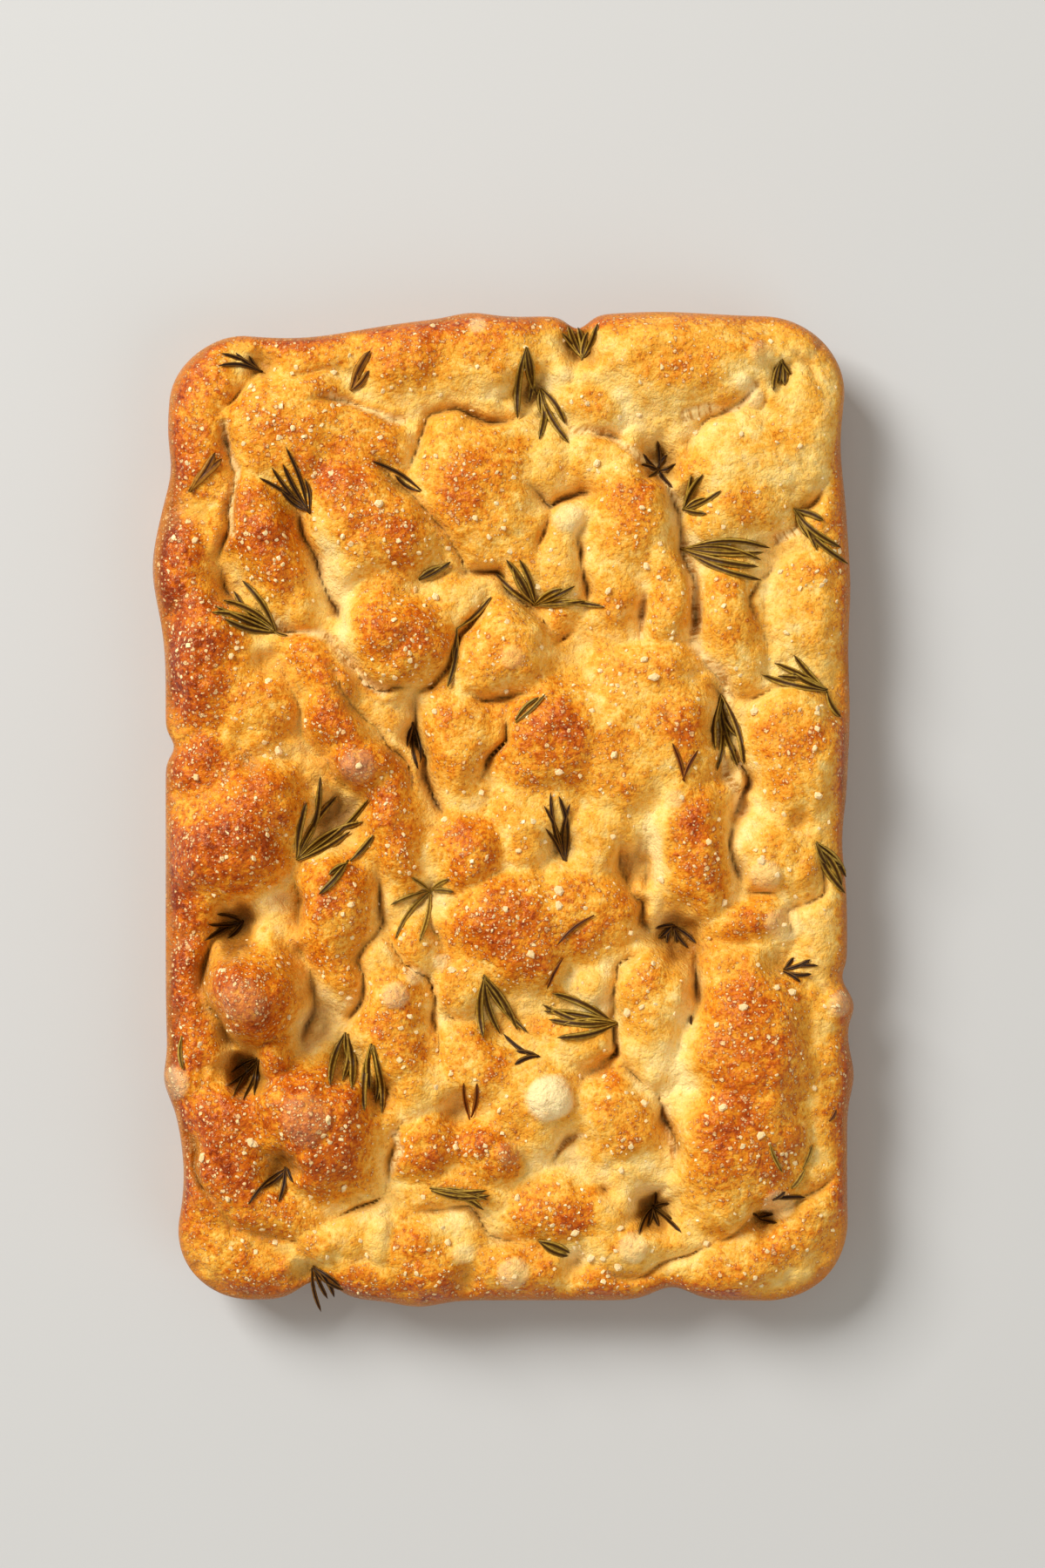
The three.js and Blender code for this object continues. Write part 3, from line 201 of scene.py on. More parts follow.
# Darker patches on the pillows, or paler where the amount is negative. Besides scorching, many darker patches
# are painted shade, in the folds, beside the sprigs and, with browning, along the left and top rims; the
# palest ones are painted light on walls of mounds that face the light. For each amount: x, y, half length,
# half width and turn, if any
SCORCHES_SHADES_AND_LIGHTS = {
    # Browning along the left rim, partly painted shade
    0.48: [(-103, -70, 13, 70)],
    0.45: [(-103, 70, 13, 60)],
    # From here down, many small patches are painted shade, in folds and beside sprigs; the rim rows are
    # browning, and on the top rim partly painted shade
    0.3: [(-75, 147, 30, 6), (-50, -148, 40, 6), (-72, -62, 11, 9), (42, -26, 4, 8), (-12, -97, 6, 4)],
    0.28: [
        (-13, 95, 5.2, 10.4, -20), (3, -66, 9, 5), (33, -80, 5, 6), (-33, -35, 4, 7), (57, 88, 4, 7),
        (17, 58, 6, 6),
    ],
    0.25: [(106, 0, 5, 110), (-52, 103, 13, 6, 20), (58, -42, 7, 5), (55, 105, 6, 6), (-3, -1, 5, 6)],
    0.24: [
        (-76, 78, 9.1, 6.5, 60), (-36, 54, 10.4, 7.8), (42, 96, 7.8, 7.8), (16, 22, 9.1, 15.6),
        (57, 24, 6.5, 6.5), (-92, -14, 10.4, 7.8, 80), (-1, -40, 7.8, 9.1), (-53, -103, 9.1, 9.1),
        (-84, -100, 9.1, 13),
    ],
    0.22: [(29, 46, 7, 5), (-57, 12, 7, 5)],
    0.2: [
        (-66, 73, 7.8, 5.2, 80), (-35, 84, 11.7, 7.8, 20), (80, 113, 9.1, 5.2), (70, 67, 7.8, 6.5),
        (95, 22, 9.1, 5.2, 60), (-92, 40, 6.5, 23.4), (-80, -8, 9.1, 6.5), (-50, -23, 7.8, 6.5),
        (25, -38, 7.8, 6.5), (-31, -62, 6.5, 7.8), (58, -6, 7.8, 11.7, 30), (77, -65, 11.7, 9.1),
        (68, -96, 11.7, 10.4), (8, -130, 7.8, 6.5), (-60, -98, 20, 16, -25), (-97, -45, 30, 9, 90),
        (-31, 82, 7, 7), (-103, 60, 34, 7, 90), (-75, 5, 9, 9),
    ],
    0.16: [
        (-72, 86, 7.8, 5.2), (52, 136, 11.7, 6.5), (73, 142, 10.4, 5.2), (-15, 101, 6.5, 5.2),
        (2, 110, 6.5, 5.2), (78, 91, 7.8, 5.2), (77, 57, 6.5, 5.2), (96, 74, 7.8, 6.5), (-17, 25, 6.5, 9.1),
        (45, 27, 7.8, 5.2), (88, 8, 6.5, 6.5), (82, 15, 5.2, 5.2), (-72, -12, 6.5, 6.5),
        (-57, -28, 6.5, 7.8), (-56, -47, 7.8, 6.5), (5, -33, 7.8, 6.5), (10, -49, 7.8, 5.2),
        (-56, -112, 9.1, 6.5), (-78, -92, 6.5, 6.5), (-28, -72, 6.5, 6.5), (64, -20, 6.5, 9.1, 20),
        (47, -52, 7.8, 7.8), (74, -78, 11.7, 9.1), (19, -124, 7.8, 5.2), (25, -128, 6.5, 5.2),
        (-80, -50, 10.4, 6.5),
    ],
    0.15: [
        (10, 149, 60, 5), (50, -148, 50, 5), (-86, -112, 20, 9, 95), (24, 55, 9, 8), (75, 28, 5, 10),
        (-15, 68, 10, 5), (60, -42, 7, 5), (84, -132, 10, 6), (56, 106, 6, 6), (-48, 105, 6, 14),
        (-72, 84, 8, 13, -70),
    ],
    0.14: [(12, -66, 12, 6, 20), (90, -50, 6, 10), (50, -130, 10, 6), (88, 86, 10, 6, 40)],
    0.13: [(32, 36, 12, 6)],
    0.12: [(45, 50, 6, 9)],
    0.1: [(-66, -77, 9, 8)],
    -0.12: [(66, 0, 6, 12), (88, -78, 6, 12)],
    -0.14: [(3, -52, 7, 6), (98, 10, 6, 12)],
    -0.15: [(55, 92, 6, 10)],
    -0.16: [(-44, 80, 9.1, 11.7), (12, 14, 9, 8), (-12, -86, 7, 6), (-15, 131, 25, 6)],
    -0.18: [(18, -97, 13, 5)],
    -0.2: [(24, 34, 7.8, 6.5), (-35, -105, 7, 8), (50, 92, 5, 10), (70, -14, 5, 14)],
    -0.22: [(-33, 36, 9, 6), (10, 50, 5, 9), (62, 25, 5, 8)],
    -0.25: [(51, 15, 4, 14)],
    # Painted light: the palest patches, on walls of mounds that face the light and in the valley right of the
    # big round pillow
    -0.3: [(-49, 60, 3, 9)],
    -0.35: [(-60, -65, 6, 13)],
    -0.4: [(56, -82, 6, 32), (-54, 79, 4, 15, 12)],
    -0.41: [(-47, 50, 5.2, 11.7), (48, -10, 4.5, 18.2)],
}

# Blisters: x, y, reach, rise, how pale
BLISTERS = [
    (14, -88, 7.5, 3.2, 1.0), (3, 46, 4, 1.5, 0.2), (-44, 13, 6, 2.2, 0.2), (-33, -57, 4.5, 2, 0.4),
    (86, -35, 6, 2, 0.35), (80, -20, 5.5, 2, 0.35), (103, -60, 4.5, 1.6, 0.35), (-101, -84, 5.5, 2, 0.4),
    (-60, -94, 8, 2, 0.1), (2, -105, 4, 2, 0.1), (-27, -51, 2.8, 1.3, 0.5), (-19, -47, 2.8, 1.3, 0.5),
    (19, 133, 2.6, 1.2, 0.3), (77, 126, 3, 1.2, 0.5), (73, 130, 3, 1.2, 0.5), (79, 139, 4, 1.4, 0.2),
    (52, 3, 3.5, 1.2, 0.3), (20, 89, 5, 2, 0.5), (-12, -136, 4, 1.6, 0.3), (3, -142, 5, 1.8, 0.4),
    (40, -134, 5, 1.8, 0.45), (84, -121, 5.5, 2, 0.4), (-78, -58, 7, 1.4, 0.1), (-36, 54, 6, 1.5, 0.0),
    (-72, 86, 5, 1.2, 0.0), (-80, -8, 6, 1.2, 0.0), (-8, 148, 3, 1, 0.4), (30, -60, 4, 1, 0.3),
]

# Folds where the crust has torn and crumb shows: half width and line
TEARS = [
    (1.5, [(-84, 119), (-85, 111), (-83, 104), (-85, 97), (-84, 90), (-83, 84)]),
    (1.3, [(-53, 126), (-48, 124), (-43, 121), (-37, 119.5), (-31, 119)]),
    (1.7, [(21, 116), (28, 116), (33, 114), (38, 109.5), (47, 105), (54, 96)]),
    (1.5, [(57, 121), (62, 123), (70, 122), (75, 126), (78, 131)]),
    (1.2, [(90, 87), (83, 81)]),
    (1.6, [(-72, 60), (-65, 53.5), (-52, 51)]),
    (1.6, [(-53, 50), (-48, 43), (-37, 37.5)]),
    (1.9, [(56, 80), (58, 66), (60, 56), (57, 51), (64, 43), (67, 34), (67, 10), (73, -1)]),
    (1.2, [(-33, -97), (-31, -103), (-33, -110)]),
    (0.9, [(41, 64), (43, 53)]),
    (0.9, [(23, -99), (16, -107)]),
    (1.1, [(48, -94), (52, -107)]),
]

# The side below the rim, and what the material reads there where it isn't 0
SIDE_DRAFT = 2.0  # drawn in at the foot
FOOT_ROUNDING = 4.0
SIDE_VALUES = {"browned": 0.6, "wall": 1.0}

# Browning, from 0 to 1
BAKE_BETWEEN = 0.08  # of the dough between the pillows
BAKE_LEAST = 0.12    # on a pillow marked 0
BAKE_RANGE = 0.7
BROWNEST = 0.95      # nothing on the pillows is baked further than this
RIM_BAKE = 0.45      # added at the rim
SCORCH_SHADE_AND_LIGHT_FALL = 1.2

# Crust colours from pale to scorched, as seen on a screen: how far baked, red, green, blue
CRUST_TONES = [
    (0, 255, 226, 154), (0.16, 250, 206, 112), (0.34, 241, 174, 62), (0.52, 228, 142, 32),
    (0.7, 206, 104, 18), (0.86, 172, 72, 12), (1, 126, 46, 6),
]
SIDE_TONES = [(0.25, 150, 84, 30), (0.5, 196, 124, 50), (0.75, 224, 158, 82)]

# Other colours of the crust, as seen on a screen
BUBBLE_RING = (164, 66, 16)
BUBBLE_CAP = (252, 214, 152)
FLOURY = (252, 220, 150)
# Oily tone of folds and valleys: partly oil, partly painted shade
OILY_AND_SHADED = [(202, 142, 52), (238, 190, 98)]
# Painted shade for the bottoms of the deepest folds and pits
DEEP_FOLD_SHADE = (142, 86, 26)
# The second crumb colour, for the small holes, is painted shade
CRUMB = [(244, 210, 142), (196, 142, 70)]  # and the small holes in it
BLISTERED = (255, 232, 176)

# Sizes of the crust's patterns in metres, and how far they sway its browning
PATCH_SIZE, PATCH_CONTRAST = 0.01, 0.85
BLOTCH_SIZE, BLOTCH_CONTRAST = 0.0028, 0.65
GRAIN_SIZE, GRAIN_CONTRAST = 0.0014, 0.55
STIR_SIZE, STIR_REACH = 0.0011, 0.0014
FLOUR_SIZE = 0.0042
FOLD_SIZE = 0.004
CRUST_ROUGHNESS = (0.54, 0.27)  # pale, browned
CRUST_BUMP = (0.95, 0.0006)     # strength, distance in metres

# Small bubbles: spacing in millimetres, and the largest radius as a share of it
BUBBLES = [(2.3, 0.42), (1.1, 0.5)]
CAP_HEIGHT = 1.2

# Salt: fine grains, then coarse ones that the solid has too
SALT_PER_SQUARE_METRE = 120000.0
SALT_SPACING = 1.3
SALT_SMALLEST = 0.35
SALT_LARGEST = 2.1
SALT_MOSTLY_SMALL = 2.3  # power of the draw of a grain's size
SALT_THICKNESS = 0.42
SALT_SEED = 4
SALT_TONES = [(255, 234, 190), (244, 198, 126)]
SALT_ROUGHNESS = (0.25, 0.5)
SALT_BUMP = (0.4, 0.0002)
SALT_CLOUDS, SALT_GRAIN = 0.0012, 0.0005  # metres
FLAKES = 70
FLAKE_TRIES = 4000
FLAKE_SPACING = 13.5
FLAKE_FROM_LEAF = 4.5
FLAKE_LEAST_RISE = 3  # of the pillow under it
FLAKE_SEED = 20
FLAKE_SIDES = 6
FLAKE_LIFT = 0.12     # height of a flake's middle over the crust, as a share of its size
FLAKE_LEVELS = [(-1.0, 1.0), (0.35, 0.92), (0.45, 0.66), (1.0, 0.58)]  # height and spread, in half sizes
# Further flakes: x, y, size
LARGE_FLAKES = [
    (17, -25, 3.6), (17, -29.5, 3.0), (27, -137.5, 3.4), (35, -140, 3.0), (22, -129.5, 2.8),
    (-77, -101.5, 3.0), (88, -56, 3.0), (73, -60, 2.8), (78, -99, 3.0), (46, 40, 3.2), (38, -62, 3.0),
]

# Leaves: width and thickness in millimetres; how far the middle stands above the crust, in thicknesses
LEAF_SIZES = {
    "olive": (2.1, 0.85), "dark": (1.5, 0.65), "brown": (1.5, 0.6), "pale": (1.5, 0.6), "broad": (2.9, 0.7),
}
LEAF_SINK = 0.7
LEAF_STEP = 1.6       # distance between the rings of points
LEAF_STIFFNESS = 3.0  # reach over which a leaf bridges hollows
# Round a leaf, in half widths and thicknesses: domed and grooved above, rolled in below
LEAF_SECTION = [
    (-1.0, 0.0), (-0.82, 0.5), (-0.42, 0.72), (-0.1, 0.6), (0.0, 0.42), (0.1, 0.6), (0.42, 0.72),
    (0.82, 0.5), (1.0, 0.0), (0.55, -0.3), (0.0, -0.15), (-0.55, -0.3),
]
# Face, rolled edge and groove of a leaf, as seen on a screen, and its roughness; the dark groove colour is
# painted shade, down the middle and along the rim
LEAF_LOOKS = {
    "olive": ((112, 76, 12), (202, 166, 70), (44, 22, 2), 0.46),
    "dark": ((62, 34, 8), (136, 96, 38), (24, 10, 2), 0.46),
    "brown": ((116, 54, 10), (180, 112, 40), (50, 20, 3), 0.48),
    "pale": ((152, 114, 34), (208, 174, 80), (84, 52, 12), 0.5),
    "broad": ((140, 84, 20), (192, 136, 50), (60, 28, 5), 0.48),
}

LEAF_SCORCH = (52, 30, 16)
LEAF_SHADE = (46, 34, 12)
LEAF_BUMP = (0.5, 0.0002)
STREAK_SIZE, LEAF_GRAIN = 0.0012, 0.0005  # metres

# Camera, lights and floor, in metres and watts
CAMERA_HEIGHT = 1.1          # above the crowns
CROWN_HEIGHT = 0.034
SENSOR_WIDTH = 36.0          # millimetres, as Blender has it
FRAME_LENGTH = 0.477         # what the frame's long side takes in at the crowns
FRAME_MIDDLE = (5.96, 7.55)  # point of the plan in the middle of the frame
LAMP_AIM = (0, 0, 0.03)
# Name, place, size, power, colour
LAMPS = [
    ("window", (-1.9, 1.7, 2.1), 1.5, 130.0, (1.0, 0.965, 0.9)),
    ("fill", (2.2, -1.8, 2.2), 2.5, 24.0, (1.0, 0.99, 0.97)),
]
WORLD_COLOUR = (1.0, 0.9, 0.74, 1.0)
WORLD_STRENGTH = 0.37
FLOOR_COLOUR = (0.58, 0.6, 0.63, 1.0)
FLOOR_REACH = 6.0

# Rosemary: kind of leaf, where the sprig is joined, and the leaf tips
SPRIGS = [
    ("dark", (-74, 134.5), [(-86.5, 139.5), (-82, 139.8), (-87, 135.5), (-78, 139)]),
    ("broad", (-46.5, 128), [(-45, 136), (-40.5, 140), (-41, 134)]),
    ("olive", (7.5, 141), [(4.5, 119.5), (8, 125), (10.5, 127)]),
    ("olive", (11.5, 129), [(12, 121), (11, 113), (20, 112), (19, 118)]),
    ("olive", (24.5, 138), [(18, 146), (20, 148.5), (23, 148), (26, 146.5), (29, 148.5)]),
    ("olive", (85, 137), [(84.5, 130), (86, 129.5), (82.5, 127.5), (88, 133)]),
    ("broad", (-96, 97), [(-88, 109), (-86, 107)]),
    ("dark", (-59, 90.5), [(-66, 110), (-70.5, 104), (-74.5, 101), (-67, 105), (-60.3, 100.5), (-68, 97.5)]),
    ("dark", (-25, 97), [(-40, 106), (-33, 102)]),
    ("dark", (48, 104.5), [(47.5, 113), (43, 109), (42.5, 105.5), (44.5, 101.5), (52, 98.5), (50.5, 109),
        (53, 106)]),
    ("olive", (55.5, 91.5), [(57.5, 102), (61, 102), (66.5, 97), (62, 95), (62, 90)]),
    ("olive", (55, 79.5), [(80, 78.5), (79, 76), (78, 74), (82, 80), (79, 70)]),
    ("olive", (89.5, 91.5), [(103.5, 80), (98, 88), (93.5, 83), (96, 79), (106, 75)]),
    ("olive", (9.5, 62.5), [(22, 68), (31, 61.5), (25, 63.5), (18, 67), (5, 76), (3, 74), (1, 76),
        (-2.5, 72.5)]),
    ("olive", (-26, 70), [(-16, 75.5), (-18, 74)]),
    ("olive", (-14, 54.5), [(-3.5, 65), (-17, 37), (-15, 45)]),
    ("olive", (-70, 54.5), [(-66, 53), (-85, 58), (-89, 60), (-88, 62), (-86, 64), (-83, 67), (-80, 70)]),
    ("olive", (99, 36), [(103.5, 28), (88, 42), (84, 40.5), (89, 47), (83, 44.5), (79, 41)]),
    ("olive", (67, 34.5), [(65, 18), (65.5, 11.5), (72, 13), (74, 13.5), (72, 22), (64.5, 25)]),
    ("dark", (-28, 26.5), [(-26, 12), (-25.5, 14), (-29.5, 19)]),
    ("pale", (4, 26.5), [(13, 35), (11, 34)]),
    ("brown", (55, 8.5), [(51.5, 20), (59.5, 18)]),
    ("olive", (-63, -15.5), [(-56, 10), (-51, 4), (-41, 3), (-43, -4), (-47, -7), (-60, 2)]),
    ("olive", (-47, -16), [(-39.5, -8), (-56, -26), (-53, -20)]),
    ("dark", (19, -16), [(12.5, 1), (14.5, 5), (17, 4), (20.5, 1.5), (13, -6)]),
    ("pale", (-22, -25), [(-28, -21), (-15, -25.5), (-34.5, -29.5), (-16.5, -21.5), (-33, -40),
        (-25.5, -40.5)]),
    ("olive", (96, -10.5), [(104, -17.5), (105.5, -21), (105, -26), (104, -24), (99, -17)]),
    ("dark", (-80.5, -35), [(-88, -32.5), (-90.5, -35.5), (-91.5, -40.5), (-85, -40), (-86, -37.5)]),
    ("brown", (28, -32.5), [(16.5, -41.5)]),
    ("brown", (18.5, -45.5), [(13.5, -55)]),
    ("dark", (52.5, -36), [(47, -37), (48, -40), (50.5, -41.5), (53.5, -41.5), (57, -43), (59.5, -41.5)]),
    ("dark", (86, -49.5), [(94, -46), (96.5, -48), (94.5, -50.5), (91, -53), (89, -45.5)]),
    ("olive", (-6, -51), [(7.5, -68.5), (4.5, -68), (-1, -69), (2, -64), (-6, -70)]),
    ("dark", (11, -75.5), [(3.5, -78), (0, -69), (4, -74)]),
    ("olive", (34.5, -66), [(15, -56.5), (12, -60), (12.5, -62), (14, -64.5), (18, -66), (16.5, -69.7)]),
    ("dark", (-75, -76.5), [(-84, -81.5), (-84.5, -85), (-82.5, -88), (-79.5, -89), (-76, -87.5)]),
    ("olive", (-48, -69), [(-52.5, -84), (-46, -85), (-45, -81), (-49, -83)]),
    ("olive", (-40, -72), [(-42, -92), (-37, -93), (-41, -86), (-39, -90)]),
    ("brown", (-10, -95), [(-8, -83.5), (-12, -83.5)]),
    ("dark", (-66.5, -110), [(-77.5, -120.5), (-68.5, -120), (-64, -114), (-74, -116)]),
    ("olive", (-22, -116), [(-4, -118), (-4.5, -119.5), (-5, -116.5), (-6, -122.5)]),
    ("olive", (11, -132.5), [(20, -137), (20.5, -136)]),
    ("dark", (46.5, -123), [(41.5, -130), (44.5, -128.5), (48, -128.5), (54.5, -129.5), (52, -126),
        (51, -121.5), (47, -118)]),
    ("pale", (80.5, -101.5), [(85, -110.5)]),
    ("pale", (92, -110), [(94.5, -102.5), (88, -116)]),
    ("dark", (82, -119), [(86, -116.5), (92.5, -119)]),
    ("dark", (79, -126), [(84, -127), (83, -124.5), (76.5, -124)]),
    ("dark", (-58.5, -141), [(-56, -155), (-52, -150.5), (-49, -148), (-50, -146.5), (-54, -151)]),
    ("pale", (-99, -70), [(-98, -80)]),
    ("brown", (100, -96), [(102, -92)]),
    ("dark", (58, -63), [(57.5, -66)]),
]


def to_frame(points):
    """Plan millimetres to frame metres."""
    moved = np.array(points, dtype=float)
    moved[..., 0] += PLAN_TO_FRAME[0]
    moved[..., 1] += PLAN_TO_FRAME[1]
    return moved * MM


# Number work: smooth steps and seeded noise

def smooth(low, high, x):
    t = np.clip((x - low) / (high - low), 0, 1)
    return t * t * (3 - 2 * t)


def lattice(ix, iy, seed):
    n = np.sin(ix * 127.1 + iy * 311.7 + seed * 74.7) * 43758.5453
    return n - np.floor(n)


def noise(x, y, size, seed):
    """Smooth noise from -1 to 1 with features of that size, on a lattice turned by the seed."""
    turn = 0.6 + 1.3 * seed
    x, y = ((x * math.cos(turn) - y * math.sin(turn)) / size + 0.37 * seed,
            (x * math.sin(turn) + y * math.cos(turn)) / size - 0.21 * seed)
    ix, iy = np.floor(x), np.floor(y)
    fx, fy = smooth(0, 1, x - ix), smooth(0, 1, y - iy)
    a, b = lattice(ix, iy, seed), lattice(ix + 1, iy, seed)
    c, d = lattice(ix, iy + 1, seed), lattice(ix + 1, iy + 1, seed)
    return (a + (b - a) * fx + (c - a) * fy + (a - b - c + d) * fx * fy) * 2 - 1


# The bread's relief

def wander(x, y):
    """A slow wander that keeps pillows and folds from being true ellipses and straight lines."""
    along_x = 1.3 * np.sin(0.11 * x + 0.07 * y + 1.3) + 0.9 * np.sin(0.19 * y - 0.05 * x + 0.4)
    along_y = 1.3 * np.sin(0.1 * y - 0.08 * x + 2.1) + 0.9 * np.sin(0.21 * x + 0.06 * y + 1.7)
    along_x = along_x + 0.5 * np.sin(0.31 * x + 0.23 * y)
    along_y = along_y + 0.5 * np.sin(0.33 * y - 0.21 * x)
    return x + along_x, y + along_y


def ellipse(x, y, cx, cy, half_length, half_width, turn=0):
    """0 in the middle of a turned ellipse, 1 on its edge."""
    angle = math.radians(turn)
    along = (x - cx) * math.cos(angle) + (y - cy) * math.sin(angle)
    across = (y - cy) * math.cos(angle) - (x - cx) * math.sin(angle)
    return (along / half_length) ** 2 + (across / half_width) ** 2


def pillows(x, y, ragged=1.0):
    """(rise above the dough between the pillows, rise of the pillows alone, how far it is baked, seams).

    A seam is 1 where two pillows meet equally high, well below their tops, and 0 elsewhere."""
    wx, wy = wander(x, y)
    wx = wx + ragged * (1.5 * noise(x, y, 9.5, 91) + 0.8 * noise(x, y, 4.6, 93))
    wy = wy + ragged * (1.5 * noise(x, y, 9.5, 92) + 0.8 * noise(x, y, 4.6, 94))
    total = np.ones_like(wx)
    skirts, highest, second, near_top = (np.zeros_like(wx) for _ in range(4))
    browned = np.full_like(wx, BAKE_BETWEEN)
    for *place, height, baked in PILLOWS:
        reach = ellipse(wx, wy, *place)
        rise = BLEND * RISE_SCALE * height
        crown = np.exp(-FALL * reach ** FALL_POWER)
        share = np.exp(rise * crown) - 1
        total += share
        own = RISE_SCALE * height * crown
        second = np.maximum(second, np.minimum(highest, own))
        near_top = np.where(own > highest, crown, near_top)
        highest = np.maximum(highest, own)
        skirt = min(SKIRT_RISE * rise, BLEND * SKIRT_HIGHEST)
        skirts += np.exp(skirt * np.exp(-FALL * (reach / SKIRT_REACH ** 2) ** FALL_POWER)) - 1
        browned += share * (BAKE_LEAST + BAKE_RANGE * baked) * crown ** 0.8
    seam = np.exp(-(((highest - second) / SEAM_WIDTH) ** 2)) * smooth(0.8, 3.0, second)
    seam *= 1 - smooth(0.45, 0.75, near_top)
    return np.log(total + skirts) / BLEND, np.log(total) / BLEND, browned / total, seam


def distance_to_line(x, y, line):
    nearest = np.full_like(x, np.inf)
    for (x0, y0), (x1, y1) in zip(line, line[1:]):
        dx, dy = x1 - x0, y1 - y0
        t = np.clip(((x - x0) * dx + (y - y0) * dy) / (dx * dx + dy * dy), 0, 1)
        nearest = np.minimum(nearest, np.hypot(x - x0 - t * dx, y - y0 - t * dy))
    return nearest


def groove_cut(x, y):
    wx, wy = wander(x, y)
    wx, wy = wx + 0.9 * noise(x, y, 5.5, 71), wy + 0.9 * noise(x, y, 5.5, 72)
    strength = 0.8 + 0.4 * noise(x, y, 9.0, 73)
    spread = 0.9 + 0.3 * noise(x, y, 6.5, 74)
    cut = np.zeros_like(wx)
    for depth, half_width, line in GROOVES:
        away = distance_to_line(wx, wy, line) / (half_width * spread)
        from_end = np.minimum(*(np.hypot(wx - ex, wy - ey) for ex, ey in (line[0], line[-1])))
        crease = FOLD_CREASE * np.exp(-((away / 0.6) ** 1.3)) + 0.5 * np.exp(-((away / 1.7) ** 2))
        cut = np.maximum(cut, depth * crease * (0.35 + 0.65 * smooth(0, FOLD_TAPER, from_end)))
    return cut * strength


def pit_cut(x, y):
    cut = np.zeros_like(x)
    for count, (cx, cy, reach, depth) in enumerate(PITS):
        away = np.hypot(x - cx, y - cy) / reach * (1 + 0.18 * noise(x, y, 4.0, 41))
        round_it = np.arctan2(y - cy, x - cx) + 0.35 * noise(x, y, 7.0, 42)
        pleats = np.sin((5 + count % 3) * round_it + count) * away * np.exp(-0.7 * away ** 2)
        cut += depth * (PIT_DEPTH * np.exp(-(away ** 2.6)) + PLEATS * pleats)
    return cut


def blister_dome(x, y):
    """(rise, how pale) of the large blisters."""
    rise, mask = np.zeros_like(x), np.zeros_like(x)
    for cx, cy, reach, height, pale in BLISTERS:
        away = np.hypot(x - cx, y - cy) / reach * (1 + 0.14 * noise(x, y, 5.0, 61))
        inside = np.clip(1 - away ** 2, 0, 1)
        rise += height * inside ** 0.6
        mask = np.maximum(mask, pale * smooth(0, 0.35, inside))
    return rise, mask


def tears(x, y):
    """(how far the crust has torn, 0 to 1; mm along the tear, for the threads of crumb that cross it)."""
    wx, wy = wander(x, y)
    mask, along = np.zeros_like(x), np.zeros_like(x)
    for half_width, line in TEARS:
        ragged = half_width * (1 + 0.4 * noise(x, y, 2.6, 21) + 0.25 * noise(x, y, 7.0, 22))
        here = 1 - smooth(0.55 * ragged, ragged, distance_to_line(wx, wy, line))
        (x0, y0), (x1, y1) = line[0], line[-1]
        run = math.hypot(x1 - x0, y1 - y0)
        along = np.where(here > mask, ((wx - x0) * (x1 - x0) + (wy - y0) * (y1 - y0)) / run, along)
        mask = np.maximum(mask, here)
    return mask, along


def lumps(x, y, valley):
    """Low, uneven swelling of the crust at several sizes, and stretched webs of dough in the valleys."""
    def puffed(*rows):
        return sum(height * np.abs(noise(x, y, size, seed)) for height, size, seed in rows)

    puffs = puffed((0.7, 11.0, 5), (0.7, 6.4, 2), (0.45, 3.3, 3))
    webs = puffed((1.2, 5.2, 6), (0.8, 2.9, 7)) - 0.6
    return 0.4 * noise(x, y, 9.0, 1) + puffs - 0.55 + 0.14 * noise(x, y, 1.8, 4) + valley * webs


# Plan of the slab

def rim_points(x, y):
    """Carries points on the edge of the plain rectangle to the slab's rim."""
    edge = np.stack([x, y])
    corner = np.array([WIDTH, LENGTH]).reshape(2, *(1 for _ in np.shape(x))) / 2 - CORNER
    out = np.maximum(0, np.abs(edge) - corner) * np.sign(edge)
    on_corner = (out != 0).all(axis=0)
    normal = np.where(on_corner, out, np.sign(out))
    normal = normal / np.maximum(np.hypot(*normal), TINY)
    at = np.where(on_corner, np.sign(edge) * corner + CORNER * normal, edge)
    push = sum(amount * np.exp(-((at[0] + MIDDLE_X - cx) ** 2 + (at[1] - cy) ** 2) / reach ** 2)
               for cx, cy, reach, amount in BULGES)
    return at + normal * push


def plan_points(u, v):
    """Spreads a square of side 2 over the slab's plan."""
    outward = np.maximum(np.maximum(np.abs(u), np.abs(v)), TINY)
    edge_x, edge_y = u / outward * WIDTH / 2, v / outward * LENGTH / 2
    rim_x, rim_y = rim_points(edge_x, edge_y)
    pull = outward ** 6
    return u * WIDTH / 2 + pull * (rim_x - edge_x) + MIDDLE_X, v * LENGTH / 2 + pull * (rim_y - edge_y)


def turn_over(fraction, half_size):
    """0 at the rim, rising to 1 like a quarter of an ellipse."""
    inward = np.minimum(1, (1 - np.abs(fraction)) * half_size / ROUNDING)
    return np.sqrt(1 - (1 - inward) ** 2)


def spaced(steps):
    t = np.linspace(-1, 1, steps + 1)
    return t * (1 + RIM_DENSITY * (1 - t * t))


# Small helpers for meshes and pieces

def make_object(name, vertices, faces, material, smooth_faces=True):
    mesh = bpy.data.meshes.new(name)
    mesh.from_pydata([tuple(v) for v in vertices], [], faces)
    mesh.materials.append(material)
    mesh.polygons.foreach_set("use_smooth", [smooth_faces] * len(mesh.polygons))
    mesh.update()
    return put_in_scene(name, mesh)


def put_in_scene(name, data):
    obj = bpy.data.objects.new(name, data)
    bpy.context.scene.collection.objects.link(obj)
    return obj


def add_values(obj, name, values):
    """A number at each vertex, for the material to read."""
    attribute = obj.data.attributes.new(name, "FLOAT", "POINT")
    attribute.data.foreach_set("value", np.asarray(values, dtype=np.float32))


